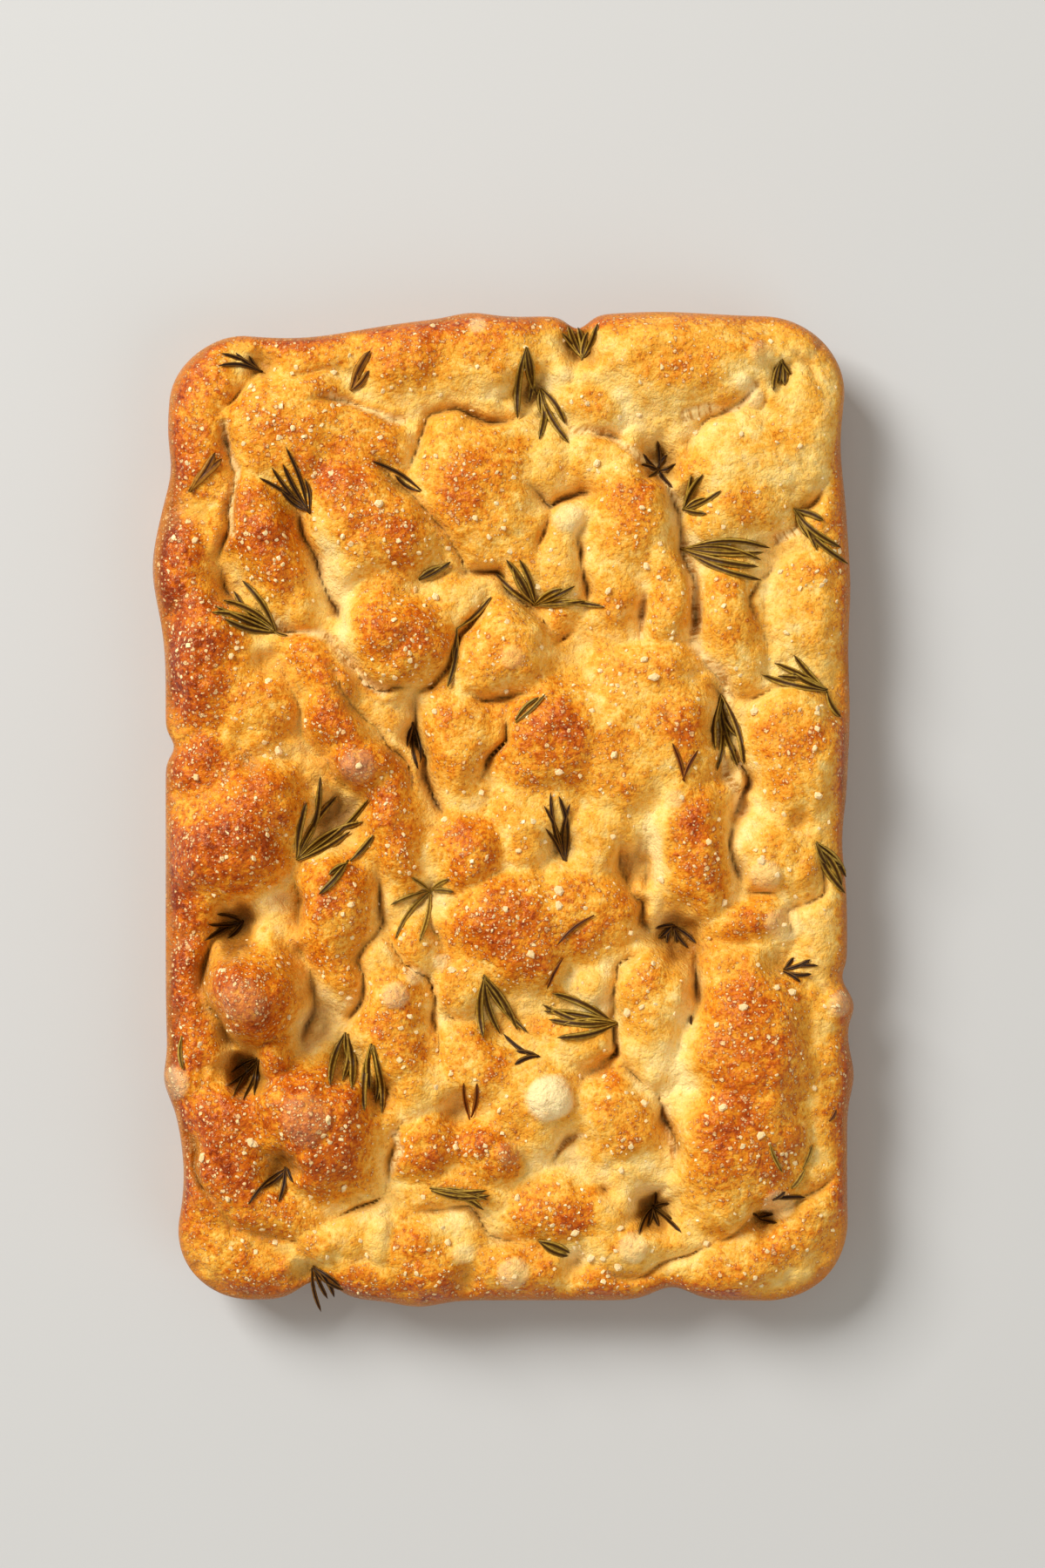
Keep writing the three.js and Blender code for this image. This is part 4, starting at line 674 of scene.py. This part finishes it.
def tube_faces(rings, sides, first):
    """Faces of a closed tube whose rings of points are numbered from the first."""
    faces = []
    for ring in range(first, first + (rings - 1) * sides, sides):
        for k in range(sides):
            a, b = ring + k, ring + (k + 1) % sides
            faces.append((a, b, b + sides, a + sides))
    last = first + (rings - 1) * sides
    return faces + [tuple(range(first + sides - 1, first - 1, -1)), tuple(range(last, last + sides))]


def stand_for(piece, node):
    """The piece rides on the bread's one body and takes the node's place."""
    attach(piece, "root")
    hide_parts(node)


# Materials

def tone(seen):
    """A colour as seen on a screen, 0 to 255, made linear."""
    return (*((c / 255) ** 2.2 for c in seen), 1.0)


class Nodes:
    """Places nodes one after another and links them. Numbers and sockets may be mixed freely."""

    def __init__(self, tree):
        self.tree = tree
        self.count = 0

    def add(self, kind, inputs=None, **settings):
        """A node's outputs."""
        node = self.tree.nodes.new(kind)
        node.location = (220 * (self.count % 12), -260 * (self.count // 12))
        self.count += 1
        for name, value in settings.items():
            setattr(node, name, value)
        for name, value in (inputs or {}).items():
            self.feed(node.inputs[name], value)
        return node.outputs

    def feed(self, socket, value):
        if isinstance(value, bpy.types.NodeSocket):
            self.tree.links.new(value, socket)
        else:
            socket.default_value = value

    def math(self, operation, a, b=0.0, clamp=False):
        return self.add("ShaderNodeMath", {0: a, 1: b}, operation=operation, use_clamp=clamp)[0]

    def plus(self, *values):
        return reduce(lambda a, b: self.math("ADD", a, b), values)

    def times(self, *values):
        return reduce(lambda a, b: self.math("MULTIPLY", a, b), values)

    def minus(self, a, b, clamp=False):
        return self.math("SUBTRACT", a, b, clamp)

    def swing(self, value, amount):
        """A noise's swing to both sides of its middle."""
        return self.times(self.minus(value, 0.5), amount)

    def mix(self, factor, a, b, blend="MIX"):
        return self.add("ShaderNodeMix", {0: factor, 6: a, 7: b},
                        data_type="RGBA", blend_type=blend, clamp_factor=True)[2]

    def tint(self, colour, seen, *masks):
        """The colour mixed towards one seen on a screen, as far as the product of the masks."""
        return self.mix(self.times(*masks), colour, tone(seen))

    def between(self, factor, seen):
        """A mix of two colours seen on a screen."""
        return self.mix(factor, *map(tone, seen))

    def step(self, value, low, high, out_low=0.0, out_high=1.0):
        numbers = dict(enumerate((value, low, high, out_low, out_high)))
        return self.add("ShaderNodeMapRange", numbers, interpolation_type="SMOOTHSTEP")[0]

    def noise(self, size, where, detail=2.0, roughness=0.5, output="Fac"):
        """Noise with features of that size in metres, 0 to 1."""
        return self.add("ShaderNodeTexNoise", {
            "Vector": where, "Scale": 1 / size, "Detail": detail, "Roughness": roughness})[output]

    def ramp(self, value, rows):
        """Colours from rows of position, red, green, blue."""
        colour = self.add("ShaderNodeValToRGB", {0: value})[0]
        stops = colour.node.color_ramp.elements
        stops.remove(stops[1])
        stops[0].position = rows[0][0]
        for row in rows[1:]:
            stops.new(row[0])
        for stop, row in zip(stops, rows):
            stop.color = tone(row[1:])
        return colour

    def vector(self, operation, *values, **named):
        return self.add("ShaderNodeVectorMath", {**dict(enumerate(values)), **named}, operation=operation)[0]

    def stirred(self, where, size, amount):
        """The same place pushed about, so that what is drawn there comes out ragged."""
        drift = self.vector("SUBTRACT", self.noise(size, where, output="Color"), (0.5, 0.5, 0.5))
        return self.vector("ADD", where, self.vector("SCALE", drift, Scale=amount))

    def attribute(self, name):
        return self.add("ShaderNodeAttribute", attribute_name=name)["Fac"]

    def place(self):
        return self.add("ShaderNodeTexCoord")["Object"]

    def bump(self, height, strength, distance):
        return self.add("ShaderNodeBump", {"Strength": strength, "Distance": distance, "Height": height})[0]

    def shade(self, inputs):
        """The material's shader, with its constants and what varies over the surface."""
        surface = self.add("ShaderNodeBsdfPrincipled", inputs)[0]
        self.add("ShaderNodeOutputMaterial", {"Surface": surface})


def new_material(name):
    material = bpy.data.materials.new(name)
    material.use_nodes = True
    material.node_tree.nodes.clear()
    return material, Nodes(material.node_tree)


def new_group(name, kind, inputs, outputs):
    """A node group with named sockets: (its nodes, its inputs, the identifier of each)."""
    tree = bpy.data.node_groups.new(name, kind)
    identifiers = {}
    for socket, holds in inputs.items():
        made = tree.interface.new_socket(socket, in_out="INPUT", socket_type="NodeSocket" + holds)
        identifiers[socket] = made.identifier
    for socket, holds in outputs.items():
        tree.interface.new_socket(socket, in_out="OUTPUT", socket_type="NodeSocket" + holds)
    n = Nodes(tree)
    return n, n.add("NodeGroupInput"), identifiers


# Crust

def crust_material():
    material, n = new_material("crust")
    place = n.place()
    browned, hollow, deep_fold_shade, torn, thread, blister, wall = (
        n.attribute(name) for name in ("browned", "hollow", "deep_fold_shade", "torn", "thread", "blister", "wall"))

    # Mottling: the browning breaks up into patches, blotches and grains
    patches = n.noise(PATCH_SIZE, place, 3.0, 0.6)
    blotches = n.noise(BLOTCH_SIZE, place, 2.0, 0.6)
    ragged = n.stirred(place, STIR_SIZE, STIR_REACH)
    grains = n.noise(GRAIN_SIZE, ragged, 2.0, 0.75)
    speckled = n.step(browned, 0.15, 0.6, 0.3, 1.0)
    fine = n.plus(n.swing(blotches, BLOTCH_CONTRAST), n.swing(grains, GRAIN_CONTRAST))
    mottled = n.plus(browned, n.swing(patches, PATCH_CONTRAST), n.times(fine, speckled))
    crust = n.ramp(mottled, CRUST_TONES)

    # Small bubbles in the skin, thickest where it is browned: pale caps, each with a thin darker ring
    crowded = n.step(n.plus(mottled, n.times(patches, 0.3)), 0.3, 0.85, 0.3, 1.0)
    height = n.plus(blotches, grains)
    for spacing, largest in BUBBLES:
        bubble = n.add("ShaderNodeTexVoronoi", {"Vector": ragged, "Scale": 1 / (spacing * MM)})
        draws = n.add("ShaderNodeSeparateColor", {0: bubble["Color"]})
        size = n.times(draws[0], crowded, largest)
        depth = n.minus(size, bubble["Distance"])
        cap = n.step(depth, 0.0, 0.12)
        ring = n.minus(n.step(depth, -0.2, -0.04), cap, clamp=True)
        crust = n.tint(crust, BUBBLE_RING, ring, crowded, 0.6)
        crust = n.tint(crust, BUBBLE_CAP, cap, n.step(draws[1], 0.1, 0.9, 0.4, 1.0))
        height = n.plus(height, n.times(cap, size, CAP_HEIGHT))

    # Pale dough is floury in places; folds keep it. Folds and valleys get a darker oily tone, partly oil and
    # partly painted shade; the deepest folds and pits get painted shade; a tear shows crumb and small holes,
    # whose darkness is painted shade
    floury = n.times(n.step(n.noise(FLOUR_SIZE, place, 3.0, 0.65), 0.5, 0.7), n.step(mottled, 0.5, 0.15))
    crust = n.tint(crust, FLOURY, floury, 0.4)
    # The oily tone in folds and valleys is partly oil and partly painted shade
    fold = n.times(hollow, n.step(n.noise(FOLD_SIZE, place), 0.25, 0.6, 0.55, 1.0))
    oily_and_shaded = n.between(n.step(blotches, 0.35, 0.65), OILY_AND_SHADED)
    crust = n.mix(n.times(fold, 0.5), crust, oily_and_shaded)
    # Painted shade, darkest at the bottom of the deepest folds and pits
    crust = n.tint(crust, DEEP_FOLD_SHADE, deep_fold_shade, 0.75)
    across = n.add("ShaderNodeCombineXYZ", {0: n.times(thread, 0.8), 1: n.times(blotches, 3.0)})[0]
    threads = n.noise(1.0, across, 2.0, 0.6)
    # The small holes' darker colour is painted shade
    holes = n.step(n.plus(threads, n.swing(patches, 0.4)), 0.56, 0.38)
    crust = n.mix(torn, crust, n.between(holes, CRUMB))
    crust = n.tint(crust, BLISTERED, blister, 0.9)

    # The side and the underside, baked evenly
    baked = n.ramp(n.plus(n.times(patches, 0.6), n.times(blotches, 0.4)), SIDE_TONES)
    crust = n.mix(wall, crust, baked)

    # Skin: glossiest where it is browned; fine pebbling, bubble caps, and a ragged floor in the tears
    rough = n.plus(n.step(mottled, 0.2, 0.9, *CRUST_ROUGHNESS), n.swing(blotches, 0.25), n.times(torn, 0.3))
    height = n.minus(height, n.times(torn, grains))
    n.shade({
        "Base Color": crust, "Roughness": rough, "Normal": n.bump(height, *CRUST_BUMP),
        "Specular IOR Level": 0.31, "Specular Tint": (1.0, 0.86, 0.62, 1.0),
        "Subsurface Weight": 0.12, "Subsurface Radius": (1.0, 0.5, 0.2), "Subsurface Scale": 0.003,
    })
    return material


def make_crust():
    u, v = np.meshgrid(spaced(CELLS_ACROSS), spaced(CELLS_ALONG))
    x, y = plan_points(u, v)
    rise, bare_rise, browned, seam = pillows(x, y)
    seam *= smooth(-0.35, 0.5, noise(x, y, 16.0, 81)) * (0.75 + 0.25 * noise(x, y, 5.0, 82))
    groove, pits = groove_cut(x, y), pit_cut(x, y)
    dome, blister = blister_dome(x, y)
    torn, thread = tears(x, y)
    webs_and_lumps = lumps(x, y, 1 - smooth(*WEB_LEVEL, bare_rise))
    height = FLOOR_OF_DOUGH + rise - groove - pits - SEAM_DEPTH * seam + dome + webs_and_lumps
    height -= TEAR_DEPTH * torn * (0.6 + 0.4 * noise(x, y, 1.9, 31))
    turn = turn_over(u, WIDTH / 2) * turn_over(v, LENGTH / 2)
    z = SHOULDER + (height - SHOULDER) * turn

    # What the material reads
    rim = 1 - smooth(0.35, 1.0, turn)
    # Scorching, painted shade and painted light are laid into the browning
    for amount, places in SCORCHES_SHADES_AND_LIGHTS.items():
        for place in places:
            browned = browned + amount * np.exp(-SCORCH_SHADE_AND_LIGHT_FALL * ellipse(x, y, *place))
    browned = BROWNEST * np.tanh(browned / BROWNEST)
    browned = browned + (RIM_BAKE + 0.25 * noise(x, y, 12.0, 85)) * rim
    # Folds, seams, pits and valleys: the salt is thinner there, and the material lays its oily tone there,
    # partly painted shade
    hollow = np.clip(smooth(0.6, 3.2, groove) + 0.6 * seam + smooth(1.2, 4.5, pits), 0, 1)
    hollow = np.maximum(hollow, 1 - smooth(1.0, 6.0, bare_rise)) * (1 - rim)
    # Painted shade: how far into the deepest folds and pits a point lies, for the material to darken it
    deep_fold_shade = np.clip(smooth(3.0, 6.5, groove) + smooth(3.5, 8.0, pits), 0, 1)
    drifts = smooth(-0.35, 0.9, noise(x, y, 13.0, 51) + 0.7 * noise(x, y, 5.0, 52))
    drifts = drifts * smooth(0.1, 0.5, browned)
    salted = 0.12 + 0.88 * smooth(2.5, 8.0, bare_rise) * drifts
    salted = salted * (1 - 0.8 * hollow) * (1 - rim) * (1 - torn)
    values = {"browned": browned, "hollow": hollow, "deep_fold_shade": deep_fold_shade, "torn": torn, "thread": thread,
              "blister": blister, "wall": 0.7 * smooth(0.5, 1.0, rim), "salted": salted}

    # The top, then rings of points down the side, then the underside
    top = np.stack([x, y, z], -1).reshape(-1, 3)
    points = [top]
    index = np.arange(x.size).reshape(x.shape)
    faces = np.stack([index[:-1, :-1], index[:-1, 1:], index[1:, 1:], index[1:, :-1]], -1)
    faces = faces.reshape(-1, 4).tolist()
    ring = np.concatenate([index[0, :-1], index[:-1, -1], index[-1, :0:-1], index[:0:-1, 0]])
    rim_x, rim_y = top[ring, 0], top[ring, 1]
    around = np.arctan2(rim_y / LENGTH, rim_x / WIDTH)
    for step in range(SIDE_STEPS):
        share = (step + 1) / SIDE_STEPS
        level = SHOULDER * (1 - share)
        foot = max(0, 1 - level / FOOT_ROUNDING)
        crease = 0.35 * np.sin(37 * around + 3 * np.sin(5 * around))
        crease += 0.25 * np.sin(83 * around + 0.3 * level)
        crease *= math.sin(math.pi * min(1, 1.05 * share)) ** 0.7
        inset = SIDE_DRAFT * share + FOOT_ROUNDING * (1 - math.sqrt(1 - foot ** 2)) + crease
        points.append(np.stack([rim_x * (1 - 2 * inset / WIDTH), rim_y * (1 - 2 * inset / LENGTH),
                                np.full(len(ring), level)], -1))
        below = np.arange(len(ring)) + x.size + step * len(ring)
        faces += np.stack([ring, below, np.roll(below, -1), np.roll(ring, -1)], -1).tolist()
        ring = below
    faces.append(ring[::-1].tolist())
    crust = make_object("crust", to_frame(np.concatenate(points)), faces, crust_material())
    for name, on_top in values.items():
        on_side = np.full(SIDE_STEPS * len(ring), SIDE_VALUES.get(name, 0.0))
        add_values(crust, name, np.append(on_top, on_side))
    return crust


def height_over(crust):
    """A function of the height of the crust over a point of the plan, in millimetres."""
    surface = BVHTree.FromPolygons([v.co for v in crust.data.vertices],
                                   [tuple(p.vertices) for p in crust.data.polygons])

    def crust_top(x, y):
        px, py = to_frame((x, y, 0.0))[:2]
        hit = surface.ray_cast(Vector((px, py, 0.2)), Vector((0, 0, -1)))
        return hit[0].z / MM if hit[0] is not None else SHOULDER

    return crust_top


# Rosemary

def leaf_pattern():
    """Node group: the colouring that all leaves share, from the colours of face, rolled edges and groove."""
    n, given, _ = new_group("Leaf pattern", "ShaderNodeTree",
                            {"Face": "Color", "Edge": "Color", "Groove": "Color"},
                            {"Colour": "Color", "Streaks": "Float", "Height": "Float"})
    face, edge, groove = given["Face"], given["Edge"], given["Groove"]
    place = n.place()
    off_middle = n.math("ABSOLUTE", n.attribute("across"))
    streaks = n.noise(STREAK_SIZE, place, 3.0, 0.6)
    darker = n.mix(1.0, face, (0.6, 0.6, 0.6, 1.0), blend="MULTIPLY")
    colour = n.mix(n.step(streaks, 0.3, 0.7), face, darker)
    on_edge = n.times(n.step(off_middle, 0.42, 0.6), n.step(off_middle, 0.98, 0.86))
    colour = n.mix(n.times(on_edge, n.step(streaks, 0.25, 0.6, 0.95, 0.5)), colour, edge)
    # Painted shade: the groove colour down the middle of the leaf and along its rim
    colour = n.mix(n.times(n.step(off_middle, 0.3, 0.08), 0.85), colour, groove)
    colour = n.mix(n.times(n.step(off_middle, 0.92, 1.0), 0.8), colour, groove)
    scorched = n.times(n.step(n.attribute("along"), 0.7, 1.0), n.step(streaks, 0.35, 0.6))
    colour = n.tint(colour, LEAF_SCORCH, scorched, 0.5)
    colour = n.tint(colour, LEAF_SHADE, n.attribute("own"), 0.3)
    height = n.plus(streaks, n.times(n.noise(LEAF_GRAIN, place, 1.0), 0.5))
    n.add("NodeGroupOutput", {"Colour": colour, "Streaks": streaks, "Height": height})
    return n.tree


def leaf_material(kind, pattern, face, edge, groove, rough):
    material, n = new_material("rosemary_" + kind)
    colours = {"Face": tone(face), "Edge": tone(edge), "Groove": tone(groove)}
    leaf = n.add("ShaderNodeGroup", colours, node_tree=pattern)
    roughness = n.step(leaf["Streaks"], 0.2, 0.8, rough - 0.08, rough + 0.1)
    n.shade({"Base Color": leaf["Colour"], "Roughness": roughness, "Specular IOR Level": 0.18,
             "Normal": n.bump(leaf["Height"], *LEAF_BUMP)})
    return material


def leaf_width(t):
    """Share of the full width along a leaf, from its narrow foot to its blunt tip."""
    foot = 0.34 + 0.66 * smooth(0.0, 0.4, t)
    tip = math.sqrt(max(0.0, 1 - (max(0.0, t - 0.62) / 0.38) ** 2))
    return foot * max(tip, 0.05)


def settle(ground, distance):
    """A stiff leaf bridges the small hollows under it: the height of the crust, rounded off from above."""
    near = np.exp(-((distance[:, None] - distance) / LEAF_STIFFNESS) ** 2)
    return np.maximum(ground - 0.25, (near * ground).sum(axis=1) / near.sum(axis=1))


def leaf_points(start, end, width, thick, bow, curl, crust_top, random):
    """Rings of points of a leaf laid over the crust, and how far across and along it each point is."""
    run = math.dist(start, end)
    ahead = (np.array(end) - start) / run
    side = np.array([ahead[1], -ahead[0]])
    share = np.linspace(0, 1, max(7, int(run / LEAF_STEP)) + 1)
    line = np.array([start + ahead * run * t + side * bow * run * math.sin(math.pi * t) for t in share])
    ground = settle(np.array([crust_top(px, py) for px, py in line]), share * run)
    centre = np.column_stack([line, ground + LEAF_SINK * thick + curl * run * share ** 2.2])
    tangent = np.gradient(centre, axis=0)
    tangent /= np.linalg.norm(tangent, axis=1, keepdims=True)
    tilt = random.uniform(-0.5, 0.5)
    points, across, along = [], [], []
    for t, middle, forward in zip(share, centre, tangent):
        flat = np.cross(forward, (0, 0, 1))
        flat /= max(np.linalg.norm(flat), TINY)
        up = np.cross(flat, forward)
        roll = tilt * (1 - 0.5 * t)
        flat, up = flat * math.cos(roll) + up * math.sin(roll), up * math.cos(roll) - flat * math.sin(roll)
        half = width / 2 * leaf_width(t)
        lift = thick * (0.5 + 0.5 * leaf_width(t))
        for s, h in LEAF_SECTION:
            points.append(middle + flat * s * half + up * h * lift)
            across.append(s)
            along.append(t)
    return points, across, along


def make_sprig(number, row, crust_top, materials, random):
    kind, joint, tips = row
    width, thick = LEAF_SIZES[kind]
    points, faces, across, along, own = [], [], [], [], []
    for index, tip in enumerate(tips):
        bow = random.uniform(0.03, 0.09) * (1 if index % 2 == 0 else -1)
        foot = [joint[i] + random.uniform(-0.5, 0.5) for i in (0, 1)]
        widest = min(width * random.uniform(0.85, 1.15), 0.22 * math.dist(foot, tip) + 0.3)
        leaf = leaf_points(foot, tip, widest, thick, bow, random.uniform(0.0, 0.05), crust_top, random)
        sides = len(LEAF_SECTION)
        faces += tube_faces(len(leaf[0]) // sides, sides, len(points))
        points += leaf[0]
        across += leaf[1]
        along += leaf[2]
        own += [random.uniform(0, 1)] * len(leaf[0])
    sprig = make_object(f"sprig_{number:02d}", to_frame(np.array(points)), faces, materials[kind])
    for name, values in (("across", across), ("along", along), ("own", own)):
        add_values(sprig, name, values)
    stand_for(sprig, f"rosemary_{number:02d}")


# Salt

def salt_material():
    material, n = new_material("salt")
    place = n.place()
    cloudy = n.noise(SALT_CLOUDS, place)
    n.shade({
        "Base Color": n.between(cloudy, SALT_TONES),
        "Roughness": n.step(cloudy, 0.3, 0.7, *SALT_ROUGHNESS),
        "Normal": n.bump(n.noise(SALT_GRAIN, place), *SALT_BUMP),
        "Subsurface Weight": 0.3, "Subsurface Radius": (1.0, 0.7, 0.4), "Subsurface Scale": 0.001, "IOR": 1.5,
    })
    return material


def crystal_mesh(material):
    """One uneven crystal of unit size: a cube with its corners cut off, and those cuts moved."""
    random = np.random.RandomState(5)
    pairs = [(a, b) for a in (-1, 1) for b in (-1, 1)]
    corners = [(a, b, 0) for a, b in pairs] + [(a, 0, b) for a, b in pairs] + [(0, a, b) for a, b in pairs]
    corners = [tuple(0.42 * c * random.uniform(0.8, 1.15) for c in corner) for corner in corners]
    faces = [(0, 4, 1, 5), (2, 7, 3, 6), (0, 9, 2, 8), (1, 10, 3, 11), (4, 8, 6, 10), (5, 11, 7, 9),
             (0, 8, 4), (0, 5, 9), (1, 4, 10), (1, 11, 5), (2, 6, 8), (2, 9, 7), (3, 10, 6), (3, 7, 11)]
    return make_object("crystal", corners, faces, material, smooth_faces=False)


def salt_tree(material):
    """Geometry Nodes: crystals scattered over a surface by a density attribute."""
    n, given, identifiers = new_group("Scattered salt", "GeometryNodeTree", {
        "Geometry": "Geometry", "Crystal": "Object", "Grains per square metre": "Float",
        "Spacing": "Float", "Smallest": "Float", "Largest": "Float", "Seed": "Int",
    }, {"Geometry": "Geometry"})
    wanted = n.add("GeometryNodeInputNamedAttribute", {"Name": "salted"})[0]
    scatter = n.add("GeometryNodeDistributePointsOnFaces", {
        "Mesh": given["Geometry"], "Distance Min": given["Spacing"],
        "Density Max": given["Grains per square metre"], "Density Factor": wanted, "Seed": given["Seed"],
    }, distribute_method="POISSON")
    draw = n.add("FunctionNodeRandomValue", {"Seed": 11})[1]
    spread = n.minus(given["Largest"], given["Smallest"])
    size = n.plus(n.times(n.math("POWER", draw, SALT_MOSTLY_SMALL), spread), given["Smallest"])
    spin = n.add("FunctionNodeRandomValue", {0: (-0.6, -0.6, 0.0), 1: (0.6, 0.6, 6.28), "Seed": 12},
                 data_type="FLOAT_VECTOR")[0]
    narrow = n.add("FunctionNodeRandomValue", {2: 0.5, 3: 1.0, "Seed": 13})[1]
    thick = n.times(size, SALT_THICKNESS)
    scale = n.add("ShaderNodeCombineXYZ", {0: size, 1: n.times(size, narrow), 2: thick})[0]
    crystal = n.add("GeometryNodeObjectInfo", {"Object": given["Crystal"]})["Geometry"]
    turned = n.add("FunctionNodeRotateEuler", {"Rotation": scatter["Rotation"], "Rotate By": spin},
                   space="LOCAL")[0]
    placed = n.add("GeometryNodeInstanceOnPoints", {
        "Points": scatter["Points"], "Instance": crystal, "Rotation": turned, "Scale": scale})[0]
    real = n.add("GeometryNodeRealizeInstances", {"Geometry": placed})[0]
    done = n.add("GeometryNodeSetMaterial", {"Geometry": real, "Material": material})[0]
    n.add("NodeGroupOutput", {"Geometry": done})
    return n.tree, identifiers


def scatter_salt(crust, material):
    """Salt that lies thickest on the pillows: the tree's result as plain triangles."""
    crystal = crystal_mesh(material)
    carrier = put_in_scene("salt", crust.data.copy())
    modifier = carrier.modifiers.new("Scattered salt", "NODES")
    modifier.node_group, identifiers = salt_tree(material)
    for name, value in (("Crystal", crystal), ("Grains per square metre", SALT_PER_SQUARE_METRE),
                        ("Spacing", SALT_SPACING * MM), ("Smallest", SALT_SMALLEST * MM),
                        ("Largest", SALT_LARGEST * MM), ("Seed", SALT_SEED)):
        modifier[identifiers[name]] = value
    evaluated = carrier.evaluated_get(bpy.context.evaluated_depsgraph_get())
    mesh = bpy.data.meshes.new_from_object(evaluated)
    carrier.modifiers.clear()
    old = carrier.data
    carrier.data = mesh
    bpy.data.meshes.remove(old)
    bpy.data.objects.remove(crystal)
    return carrier


def seeded(seed):
    """The draw between 0 and 1 that also placed the solid's coarse salt."""
    state = seed
    while True:
        state = (state * 1664525 + 1013904223) % 4294967296
        yield state / 4294967296


def nearest_leaf(x, y):
    return min(distance_to_line(np.array([x]), np.array([y]), [joint, tip])[0]
               for _, joint, tips in SPRIGS for tip in tips)


def flake_places():
    """(x, y, size, depth, height, corner draws, lean, turn) of the solid's coarse grains, drawn alike."""
    draw = seeded(FLAKE_SEED)
    kept = []
    for _ in range(FLAKE_TRIES):
        u, v = 1.84 * next(draw) - 0.92, 1.88 * next(draw) - 0.94
        x, y = (float(c) for c in plan_points(np.array(u), np.array(v)))
        apart = all(math.hypot(x - row[0], y - row[1]) > FLAKE_SPACING for row in kept)
        if (apart and nearest_leaf(x, y) > FLAKE_FROM_LEAF
                and pillows(np.array(x), np.array(y), 0.0)[1] > FLAKE_LEAST_RISE):
            size = 2.0 + 1.3 * next(draw) ** 2
            depth, height = 0.6 + 0.3 * next(draw), 0.5 + 0.2 * next(draw)
            corners = [next(draw) for _ in range(24)]
            lean, turn = 0.5 * (next(draw) - 0.5), 2 * math.pi * next(draw)
            kept.append((x, y, size, depth, height, corners, lean, turn))
            if len(kept) == FLAKES:
                break
    return kept


def make_flakes(crust_top, material):
    """Coarse crystals, each an uneven six-cornered block with a terrace on top."""
    random = np.random.RandomState(17)
    rows = flake_places() + [(x, y, size, 0.8, 0.4, list(random.rand(24)), 0.0, random.uniform(0, 6.28))
                             for x, y, size in LARGE_FLAKES]
    points, faces = [], []
    for x, y, size, depth, height, corners, lean, turn in rows:
        bottom = crust_top(x, y) + FLAKE_LIFT * size
        half = np.array([0.5, 0.5 * depth, 0.5 * height]) * size
        faces += tube_faces(len(FLAKE_LEVELS), FLAKE_SIDES, len(points))
        for level, spread in FLAKE_LEVELS:
            for k in range(FLAKE_SIDES):
                away = spread * (0.85 + 0.4 * corners[3 * k])
                at = 2 * math.pi * (k + 0.5 * corners[3 * k + 1]) / FLAKE_SIDES
                px, py, pz = np.array([away * math.cos(at), away * math.sin(at), level]) * half
                py, pz = (py * math.cos(lean) - pz * math.sin(lean),
                          py * math.sin(lean) + pz * math.cos(lean))
                points.append((x + px * math.cos(turn) - py * math.sin(turn),
                               y + px * math.sin(turn) + py * math.cos(turn), bottom + pz))
    return make_object("salt_flakes", to_frame(np.array(points)), faces, material, smooth_faces=False)


# Light, floor and camera

def make_floor():
    material, n = new_material("floor")
    n.shade({"Base Color": FLOOR_COLOUR, "Roughness": 0.85})
    corners = [(a * FLOOR_REACH, b * FLOOR_REACH, 0) for a, b in ((-1, -1), (1, -1), (1, 1), (-1, 1))]
    floor = make_object("floor", corners, [(0, 1, 2, 3)], material)


def make_lamp(name, place, size, power, colour):
    """A square soft box that faces the middle of the bread."""
    light = bpy.data.lights.new(name, "AREA")
    light.shape = "RECTANGLE"
    light.size = light.size_y = size
    light.energy = power
    light.color = colour
    lamp = put_in_scene(name, light)
    lamp.location = place
    lamp.rotation_euler = (Vector(LAMP_AIM) - Vector(place)).to_track_quat("-Z", "Y").to_euler()


def make_world(colour, strength):
    world = bpy.data.worlds.new("studio")
    world.use_nodes = True
    back = world.node_tree.nodes["Background"]
    back.inputs["Color"].default_value = colour
    back.inputs["Strength"].default_value = strength
    bpy.context.scene.world = world


def make_camera():
    """Straight above the bread."""
    lens = bpy.data.cameras.new("camera")
    lens.sensor_width = SENSOR_WIDTH
    lens.lens = SENSOR_WIDTH * CAMERA_HEIGHT / FRAME_LENGTH
    lens.clip_start, lens.clip_end = 0.05, 50.0
    camera = put_in_scene("camera", lens)
    camera.location = (*to_frame((*FRAME_MIDDLE, 0.0))[:2], CAMERA_HEIGHT + CROWN_HEIGHT)
    bpy.context.scene.camera = camera


make_camera()
make_floor()
for lamp in LAMPS:
    make_lamp(*lamp)
make_world(WORLD_COLOUR, WORLD_STRENGTH)
bpy.context.scene.view_settings.view_transform = "Standard"
bpy.context.scene.view_settings.look = "None"

crust = make_crust()
stand_for(crust, "bread")
crust_top = height_over(crust)

salt_finish = salt_material()
salt = scatter_salt(crust, salt_finish)
stand_for(salt, "bread")
flakes = make_flakes(crust_top, salt_finish)
stand_for(flakes, "bread")

pattern = leaf_pattern()
leaf_finish = {kind: leaf_material(kind, pattern, *look) for kind, look in LEAF_LOOKS.items()}
for number, row in enumerate(SPRIGS, 1):
    make_sprig(number, row, crust_top, leaf_finish, np.random.RandomState(100 + number))
